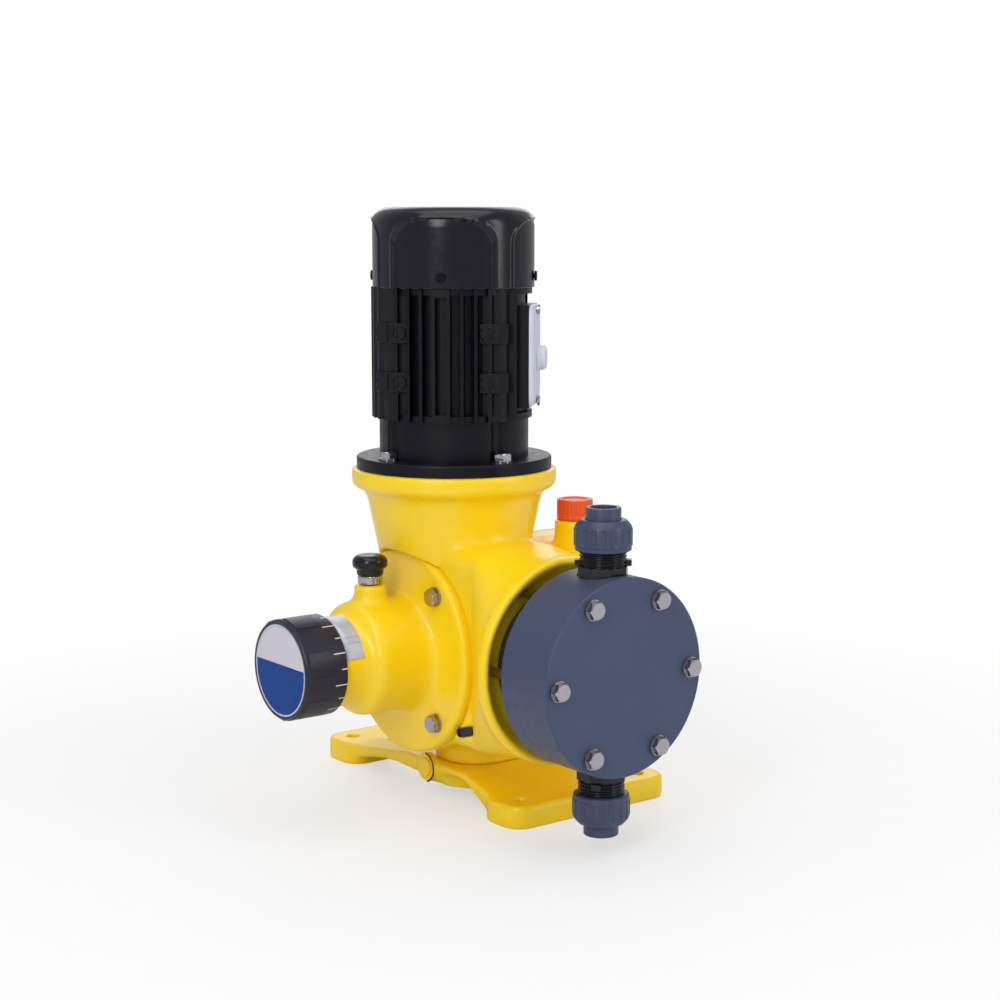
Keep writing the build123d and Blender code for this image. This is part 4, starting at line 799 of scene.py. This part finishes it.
@dataclass
class LockScrew:
    """Locking screw with a chromed stem and a rounded cap."""

    place: Place = Place((-84, 0, 0))
    stem_radius: float = 10.0
    cap_radius: float = 14.2
    flutes: int = 14
    flute_depth: float = 0.4

    def fluted(self, radius: np.ndarray, height: np.ndarray, angle: np.ndarray) -> np.ndarray:
        """Stem radius: shallow flutes round the thick upper part."""
        thick = smooth((radius - self.stem_radius + 0.5) / 0.4) * smooth((height - 190) / 0.8)
        return radius - thick * self.flute_depth * (0.5 + 0.5 * np.cos(self.flutes * angle))

    def build(self) -> None:
        """Builds the stem and the cap."""
        stem = eased([(0, 142), (4.9, 142), (4.9, 189.3), (8.6, 189.3), (10, 190.6), (10, 196.2), (0, 196.2)], 0.5,
                     closed=False)
        Surface().grid(self.place.put(revolved(stem, 168, self.fluted))).piece("lock_stem", STAINLESS, "lock", ("lock_screw",))
        r = self.cap_radius
        cap = eased([(0, 196), (10.8, 196), (10.8, 202), (r - 2, 202), (r, 204), (r, 209.5), (r - 4, 213), (0, 213)],
                    3.0, closed=False, steps=9)
        Surface().grid(self.place.put(revolved(cap, 96))).piece("lock_knob", BLACK_PVC, "lock", ("lock_cap",))


@dataclass
class Valve:
    """One ball valve's outside: body with lugs and thread, ribbed union nut and open connector."""

    side: int
    prefix: str
    body_radius: float = 18.5
    nut_radius: float = 22.3
    nut_start: float = 17.0
    nut_end: float = 41.0
    ribs: int = 18
    lug_turn: float = 52.3
    lug_top: float = 10.6
    lug_radius: float = 21.6
    collar_top: float = 6.0
    thread_pitch: float = 2.6

    @property
    def place(self) -> Place:
        """Frame on the head's rim, its Z away from the head."""
        return Place((0, -189.0, HEAD_AXIS_Z + self.side * 76.5), x=(0, 1, 0), z=(0, 0, self.side))

    def build(self) -> None:
        """Builds the body, nut and connector."""
        self.build_body()
        self.build_nut()
        self.build_connector()

    def lugged(self, radius: np.ndarray, height: np.ndarray, angle: np.ndarray) -> np.ndarray:
        """Body radius: an eight-sided collar low down and two lugs above it."""
        outer = smooth((radius - 15) / 1)
        facet = (angle + math.pi / 8) % (math.pi / 4) - math.pi / 8
        collar = smooth((self.collar_top - height) / 0.4) * smooth((height + 3) / 0.4)
        flat = (self.body_radius + 1.2) * (1 - math.cos(math.pi / 8) / np.cos(facet))
        lug = smooth((np.cos(2 * (angle - math.radians(self.lug_turn))) - 0.92) / 0.02)
        band = smooth((height - self.collar_top + 0.4) / 0.3) * smooth((self.lug_top - height) / 0.3)
        lugged = radius + outer * collar * (1.2 - flat)
        return lugged + outer * band * lug * (self.lug_radius - lugged)

    def build_body(self) -> None:
        """Turns the body: collar, thread ridges and bore."""
        inner = np.array([(5, 31), (5, -2.0), (9.5, -2.0), (9.5, -14)])
        rise = np.linspace(-14, 31, 240)
        thread = 17.5 + 0.5 * np.cos((rise - self.lug_top) * 2 * math.pi / self.thread_pitch)
        wide = np.where(rise < self.collar_top, self.body_radius, np.where(rise < self.nut_start, thread, 16.3))
        body = np.where(rise < -3, 16.4, wide)
        outline = np.concatenate([inner, np.stack([body, rise], -1)])
        Surface().grid(self.place.put(revolved(outline, 240, self.lugged)), wrap_rows=True).piece(
            f"{self.prefix}_valve_outside", BLACK_PVC, "housing", (f"{self.prefix}_valve_body",)
        )

    def ribbed(self, radius: np.ndarray, height: np.ndarray, angle: np.ndarray) -> np.ndarray:
        """Nut radius: flat ribs with narrow grooves over the plain lower band and round shoulder."""
        band = smooth((height - self.nut_start - 4.4) / 0.8) * smooth((self.nut_end - 5.5 - height) / 1.2)
        outer = (radius > self.nut_radius - 2).astype(float)
        rib = smooth(hollows(angle, self.ribs, 0.62) * 1.5)
        return radius - outer * (0.9 * band * (1 - rib)) - outer * 0.15

    def build_nut(self) -> None:
        """Turns the union nut with a stepped lower band and a round shoulder."""
        r, low, top = self.nut_radius, self.nut_start, self.nut_end
        outside = eased([(14.0, top), (r - 5, top), (r, top - 5.5), (r, low + 12), (r, low + 4.5), (r - 0.6, low + 4),
                         (r - 0.6, low + 0.4), (17, low + 0.1)], 4.0, closed=False, steps=9)
        inside = np.array([(17, low + 0.1), (17, 36.4), (14.0, 36.4), (14.0, top)])
        outline = np.concatenate([outside, inside])
        Surface().grid(self.place.put(revolved(outline, 288, self.ribbed)), wrap_rows=True).piece(
            f"{self.prefix}_union", UNION_PVC, "housing", (f"{self.prefix}_union_nut",), slot="grey_pvc"
        )

    def build_connector(self) -> None:
        """Turns the socket end that the pipe is cemented into."""
        outline = eased([(16.3, 32.5), (16.3, 36.2), (13.5, 36.2), (13.5, 50), (10.05, 50), (10.05, 34), (7.05, 34),
                         (7.05, 32.5)], 0.7)
        Surface().grid(self.place.put(revolved(outline, 96)), wrap_rows=True).piece(
            f"{self.prefix}_socket", UNION_PVC, "housing", (f"{self.prefix}_connector",), slot="grey_pvc"
        )


@dataclass
class FanCowl:
    """Pressed fan cover with four arched panels, a rounded top and a slotted grille."""

    place: Place = Place((0, 0, 0))
    radius: float = 67.6
    low: float = 425.0
    top: float = 489.0
    corner: float = 16.0
    wall: float = 2.2
    panel_angle: float = 36.0
    panel_depth: float = 1.9
    panel_top: float = 480.0
    bead_height: float = 1.0
    slots: tuple[float, ...] = (14.0, 23.0, 32.0, 41.0)
    slot_width: float = 4.0
    rib: float = 6.0
    columns: int = 480

    def build(self) -> None:
        """Builds the outer skin and gives it its wall."""
        wall = np.linspace(self.low, self.top - self.corner, 60)
        bend = np.linspace(0, math.pi / 2, 17)[1:]
        inner = self.radius - self.corner
        crown = self.top - self.corner
        edges = np.array([v for s in self.slots[::-1] for v in (s + self.slot_width, s)])
        radius = np.concatenate([np.full(len(wall), self.radius), inner + self.corner * np.cos(bend), edges, [8, 0]])
        height = np.concatenate([wall, crown + self.corner * np.sin(bend), np.full(len(edges) + 2, self.top)])
        points = revolved(np.stack([radius, height], -1), self.columns)
        points = points * self.pressed(points)
        Surface().grid(self.place.put(points), keep=self.solid(radius)).piece(
            "cowl", COWL_BLACK, "housing", ("fan_cover",), wall=self.wall
        )

    def pressed(self, points: np.ndarray) -> np.ndarray:
        """Scale of each point's x and y: inside an arched panel the wall is pressed in.

        The panel is |angle| < panel_angle about each diagonal, below an elliptic arch; its edge is eased
        and has a low bead round it.

        Args:
            points: The plain skin.

        Returns:
            Scale with the shape (rows, columns, 3).
        """
        angle = np.degrees(np.arctan2(points[..., 1], points[..., 0]))
        across = np.abs((angle + 90) % 90 - 45) / self.panel_angle
        z = points[..., 2]
        spring = self.panel_top - 22
        arch = np.clip((z - spring) / 22, 0, None)
        far = (np.clip(across, 0, None) ** 2.6 + arch**2.6) ** (1 / 2.6)
        inside = smooth((1 - far) / 0.05)
        bead = np.exp(-(((far - 1.045) / 0.028) ** 2))
        radius = np.maximum(np.hypot(points[..., 0], points[..., 1]), 1)
        outer = smooth((radius - 44) / 10)
        scale = 1 - (self.panel_depth * inside - self.bead_height * bead) * outer / radius
        return np.stack([scale, scale, np.ones_like(scale)], -1)

    def solid(self, radius: np.ndarray) -> np.ndarray:
        """Which faces of the skin are metal: all but the slots between the four ribs."""
        angle = (np.arange(self.columns) + 0.5) * 360 / self.columns % 90
        middle = (radius[:-1] + radius[1:]) / 2
        slot = np.array([any(s < m < s + self.slot_width for s in self.slots) for m in middle])
        slot[: -2 * len(self.slots) - 2] = False
        off = np.minimum(angle, 90 - angle)[None]
        rib = np.sin(np.radians(off)) * middle[:, None] < self.rib / 2
        return ~(slot[:, None] & ~rib)


@dataclass
class MotorDetails:
    """Small forms on the finned frame: bolt rings on the pads, terminal cover and cable plug."""

    pad_y: float = 35.0
    pad_inner: float = 28.7
    pad_outer: float = 46.4
    pad_heights: tuple[float, float] = (351.0, 390.0)
    pad_half: float = 8.0
    pad_back: float = 50.5
    pad_face: float = 56.0
    angles: tuple[int, ...] = (45, 135, 225)
    cover_low: float = 329.0
    cover_high: float = 411.0
    cover_width: float = 56.0

    def outward(self, angle: float, y: float, z: float, reach: float) -> Place:
        """Frame on the motor's side, its Z away from the axis and its X up."""
        a = math.radians(angle)
        out = np.array([math.cos(a), math.sin(a), 0])
        beside = np.array([-math.sin(a), math.cos(a), 0])
        return Place(tuple(out * reach + beside * y + np.array([0, 0, z])), x=(0, 0, 1), z=tuple(out))

    def build(self) -> None:
        """Builds the rings, the terminal cover and the plug."""
        self.build_rings()
        self.build_cover()
        self.build_plug()

    def build_rings(self) -> None:
        """Raises each pad to the fins' edges and sets an open ring on it."""
        turn = np.linspace(math.radians(40), math.radians(350), 40)
        section = np.array([(4.3, -0.4), (4.5, 0.9), (5.9, 0.9), (6.1, -0.4)])
        r, h = section[:, :1], section[:, 1:]
        ring = np.stack([r * np.cos(turn), r * np.sin(turn), h + 0 * turn], -1)
        surface = Surface()
        for angle in self.angles:
            for y in (-self.pad_y, self.pad_y):
                for z in self.pad_heights:
                    surface.grid(self.outward(angle, y, z, self.pad_face).put(ring), wrap_rows=True, wrap_columns=False)
                    surface.blocks(self.outward(angle, 0, z, 0).put(self.pad_block(np.sign(y)))[None])
        surface.piece("pad_rings", MOTOR_BLACK, "housing", slot="motor_paint", bevel=0.8)

    def pad_block(self, side: float) -> np.ndarray:
        """Eight corners of a pad's front: a wedge between two fins that narrows towards its face."""
        half, back, face = self.pad_half, self.pad_back, self.pad_face
        inner, outer, tip = side * self.pad_inner, side * self.pad_outer, side * (self.pad_y + 6.3)
        lower = [(-half, inner, back), (half, inner, back), (half, outer, back), (-half, outer, back)]
        upper = [(-half, inner, face), (half, inner, face), (half, tip, face), (-half, tip, face)]
        return np.array(lower + upper, float)

    def build_cover(self) -> None:
        """Bulges a plate with rounded corners: its face is the power curve 1 - |x|^p - |y|^p eased down to the rim."""
        place = self.outward(315, 0, (self.cover_low + self.cover_high) / 2, 65.0)
        angle = np.linspace(0, 2 * math.pi, 128, endpoint=False)
        share = np.concatenate([np.linspace(0, 0.9, 10), np.linspace(0.92, 1, 7)])[:, None]
        half_z, half_y = (self.cover_high - self.cover_low) / 2, self.cover_width / 2
        power = 2 / 9
        x = half_z * np.sign(np.cos(angle)) * np.abs(np.cos(angle)) ** power
        y = half_y * np.sign(np.sin(angle)) * np.abs(np.sin(angle)) ** power
        rise = 4.0 * (1 - share**14) ** 0.5 * (0.82 + 0.18 * (1 - share**2))
        top = np.stack([share * x, share * y, rise + 0 * x], -1)
        foot = np.stack([x, y, 0 * x], -1)[None]
        closing = np.stack([0 * x, 0 * y, 0 * x], -1)[None]
        Surface().grid(place.put(np.concatenate([top, foot, closing]))).piece(
            "terminal_lid", LIGHT_PLASTIC, "housing", ("terminal_cover",)
        )

    def build_plug(self) -> None:
        """Turns the stepped, tapered plug in the cable entry."""
        place = self.outward(315, 0, 368.0, 69.0)
        outline = eased([(0, -0.5), (11.5, -0.5), (11.5, 1.2), (10.4, 1.6), (9.8, 5.4), (8.6, 7.0), (6.4, 7.0), (6.0, 5.8),
                         (0, 5.8)], 0.7, closed=False)
        Surface().grid(place.put(revolved(outline, 96))).piece("blank_plug", LIGHT_PLASTIC, "housing", ("cable_plug",))


@dataclass
class FillerCap:
    """Ribbed orange cap of the oil filler."""

    place: Place = Place((92, -45, 231))
    radius: float = 15.0
    height: float = 17.0
    ribs: int = 24

    def ribbed(self, radius: np.ndarray, height: np.ndarray, angle: np.ndarray) -> np.ndarray:
        """Cap radius: rounded grooves between the plain foot and the crown."""
        band = smooth((height - 2.5) / 1.2) * smooth((self.height - 2.2 - height) / 1.5)
        outer = (radius > self.radius - 1).astype(float)
        return radius - outer * band * 0.7 * hollows(angle, self.ribs, 0.6)

    def build(self) -> None:
        """Turns the cap over its threaded stem."""
        r, h = self.radius, self.height
        outline = eased([(0, -10), (10.95, -10), (10.95, 0), (r, 0), (r, 2.2), (r, 6), (r, 12), (r, h), (11, h), (10, h - 1.2),
                         (0, h - 1.2)], 1.0, closed=False)
        Surface().grid(self.place.put(revolved(outline, 240, self.ribbed))).piece(
            "filler_cap", ORANGE, "filler", ("oil_filler_cap",)
        )


@dataclass
class CadDress:
    """Finishes for the CAD nodes that stay."""

    plain: Finish = MACHINED

    def build(self, nodes: dict[str, bpy.types.Object], slots: dict[str, str]) -> None:
        """Gives each shown node its slot's finish.

        Args:
            nodes: The CAD nodes.
            slots: Material slot by node.
        """
        for name, node in nodes.items():
            if node.hide_render:
                continue
            finish = SLOT_FINISHES.get(slots.get(name, ""), self.plain)
            node.data.materials.clear()
            node.data.materials.append(finish.material())
            LOG.info("%s keeps its CAD form in %s", name, finish.name)


class Studio:
    """Pale floor, soft lights and the photograph's camera."""

    camera_place = (-0.99075, -1.30467, 0.48244)
    camera_right = (0.7932, -0.6089, 0.0)
    camera_up = (0.0885, 0.1153, 0.9893)
    lens = 69.83
    floor_white = 0.55

    def build(self) -> None:
        """Builds the camera, floor, world and lamps."""
        self.build_camera()
        self.build_floor()
        self.build_world()
        self.lamp("key", (-2.1, -1.3, 1.5), (0.7, 1.9), 24)
        self.lamp("fill", (1.1, -2.3, 1.1), (0.6, 1.9), 13)
        self.lamp("top", (-0.2, -0.3, 2.4), (2.0, 2.0), 20)
        self.lamp("rear", (1.4, 1.8, 1.4), (1.6, 1.6), 10)

    def build_camera(self) -> None:
        """Sets the camera by its right, up and backward directions."""
        right, up = np.array(self.camera_right), np.array(self.camera_up)
        back = np.cross(right, up)
        camera = bpy.data.objects.new("camera", bpy.data.cameras.new("camera"))
        camera.data.lens = self.lens
        camera.data.sensor_width = 36
        turn = Matrix(np.stack([right, up, back], -1).tolist()).to_4x4()
        camera.matrix_world = Matrix.Translation(self.camera_place) @ turn
        bpy.context.scene.collection.objects.link(camera)
        bpy.context.scene.camera = camera

    def build_floor(self) -> None:
        """Lays a wide pale floor that keeps the object's shadow."""
        half = 6.0
        corners = np.array([[[-half, -half, 0], [half, -half, 0]], [[-half, half, 0], [half, half, 0]]], float)
        mesh = bpy.data.meshes.new("floor")
        mesh.from_pydata(corners.reshape(-1, 3).tolist(), [], [(0, 1, 3, 2)])
        floor = bpy.data.objects.new("floor", mesh)
        floor.data.materials.append(self.floor_material())
        bpy.context.scene.collection.objects.link(floor)

    def floor_material(self) -> bpy.types.Material:
        """Pale matt floor, which turns plain white to the camera away from the pump's shadow.

        Returns:
            The material: white light and paint mixed by the distance from the pump.
        """
        material = Finish("floor", (236, 236, 238), Grain.ENAMEL, roughness=0.8, tone=0.02).material()
        tree = NodeTree(material.node_tree)
        distance = tree.tree.nodes.new("ShaderNodeVectorMath")
        distance.operation = "LENGTH"
        tree.link(tree.place, distance.inputs[0])
        far = tree.ranged(distance.outputs["Value"], 0.25, 0.75, self.floor_white, 1)
        seen = tree.tree.nodes.new("ShaderNodeLightPath").outputs["Is Camera Ray"]
        share = tree.tree.nodes.new("ShaderNodeMath")
        share.operation = "MULTIPLY"
        tree.link(far, share.inputs[0])
        tree.link(seen, share.inputs[1])
        white = tree.tree.nodes.new("ShaderNodeEmission")
        mix = tree.tree.nodes.new("ShaderNodeMixShader")
        tree.link(share.outputs["Value"], mix.inputs["Fac"])
        tree.link(tree.tree.nodes["Principled BSDF"].outputs["BSDF"], mix.inputs[1])
        tree.link(white.outputs["Emission"], mix.inputs[2])
        tree.link(mix.outputs["Shader"], tree.tree.nodes["Material Output"].inputs["Surface"])
        return material

    def build_world(self) -> None:
        """Lights the scene softly, and is white where the camera sees it."""
        world = bpy.data.worlds.new("studio")
        world.use_nodes = True
        tree = world.node_tree
        soft = tree.nodes["Background"]
        soft.inputs["Color"].default_value = (0.95, 0.97, 1.0, 1)
        soft.inputs["Strength"].default_value = 0.5
        seen = tree.nodes.new("ShaderNodeBackground")
        seen.inputs["Color"].default_value = (1, 1, 1, 1)
        path = tree.nodes.new("ShaderNodeLightPath")
        mix = tree.nodes.new("ShaderNodeMixShader")
        tree.links.new(path.outputs["Is Camera Ray"], mix.inputs["Fac"])
        tree.links.new(soft.outputs["Background"], mix.inputs[1])
        tree.links.new(seen.outputs["Background"], mix.inputs[2])
        tree.links.new(mix.outputs["Shader"], tree.nodes["World Output"].inputs["Surface"])
        bpy.context.scene.world = world

    def lamp(self, name: str, place: tuple[float, float, float], size: tuple[float, float], power: float) -> None:
        """Hangs a soft lamp that faces the pump.

        Args:
            name: The lamp's name.
            place: Where it hangs, in metres.
            size: Its width and height.
            power: Watts.
        """
        data = bpy.data.lights.new(name, "AREA")
        data.shape = "RECTANGLE"
        data.size, data.size_y = size
        data.energy = power
        lamp = bpy.data.objects.new(name, data)
        back = np.array(place) - (-0.03, -0.05, 0.22)
        back = back / np.linalg.norm(back)
        right = np.cross((0, 0, 1), back)
        right = right / np.linalg.norm(right)
        turn = Matrix(np.stack([right, np.cross(back, right), back], -1).tolist()).to_4x4()
        lamp.matrix_world = Matrix.Translation(place) @ turn
        bpy.context.scene.collection.objects.link(lamp)


def slots_by_node(record: dict) -> dict[str, str]:
    """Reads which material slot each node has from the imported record."""
    return {part["node"]: part["material_slot"] for part in record.get("subparts", []) if "node" in part}


def drop_imported_materials() -> None:
    """Removes the plain materials that came with the CAD nodes, so that their names are free."""
    for material in list(bpy.data.materials):
        bpy.data.materials.remove(material)


def main() -> None:
    """Builds everything in order."""
    logging.basicConfig(level=logging.INFO, format="%(name)s: %(message)s")
    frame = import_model()
    drop_imported_materials()
    Studio().build()
    Castings().build(frame["nodes"], frame["record"]["mounts"])
    PaintedCastingShade().build()
    StrokeKnob().build()
    ScaleSleeve().build()
    LockScrew().build()
    Valve(1, "discharge").build()
    Valve(-1, "suction").build()
    FanCowl().build()
    MotorDetails().build()
    FillerCap().build()
    CadDress().build(frame["nodes"], slots_by_node(frame["record"]))
    bpy.context.scene.view_settings.view_transform = "Standard"
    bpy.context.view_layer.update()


if __name__ == "__main__":
    main()
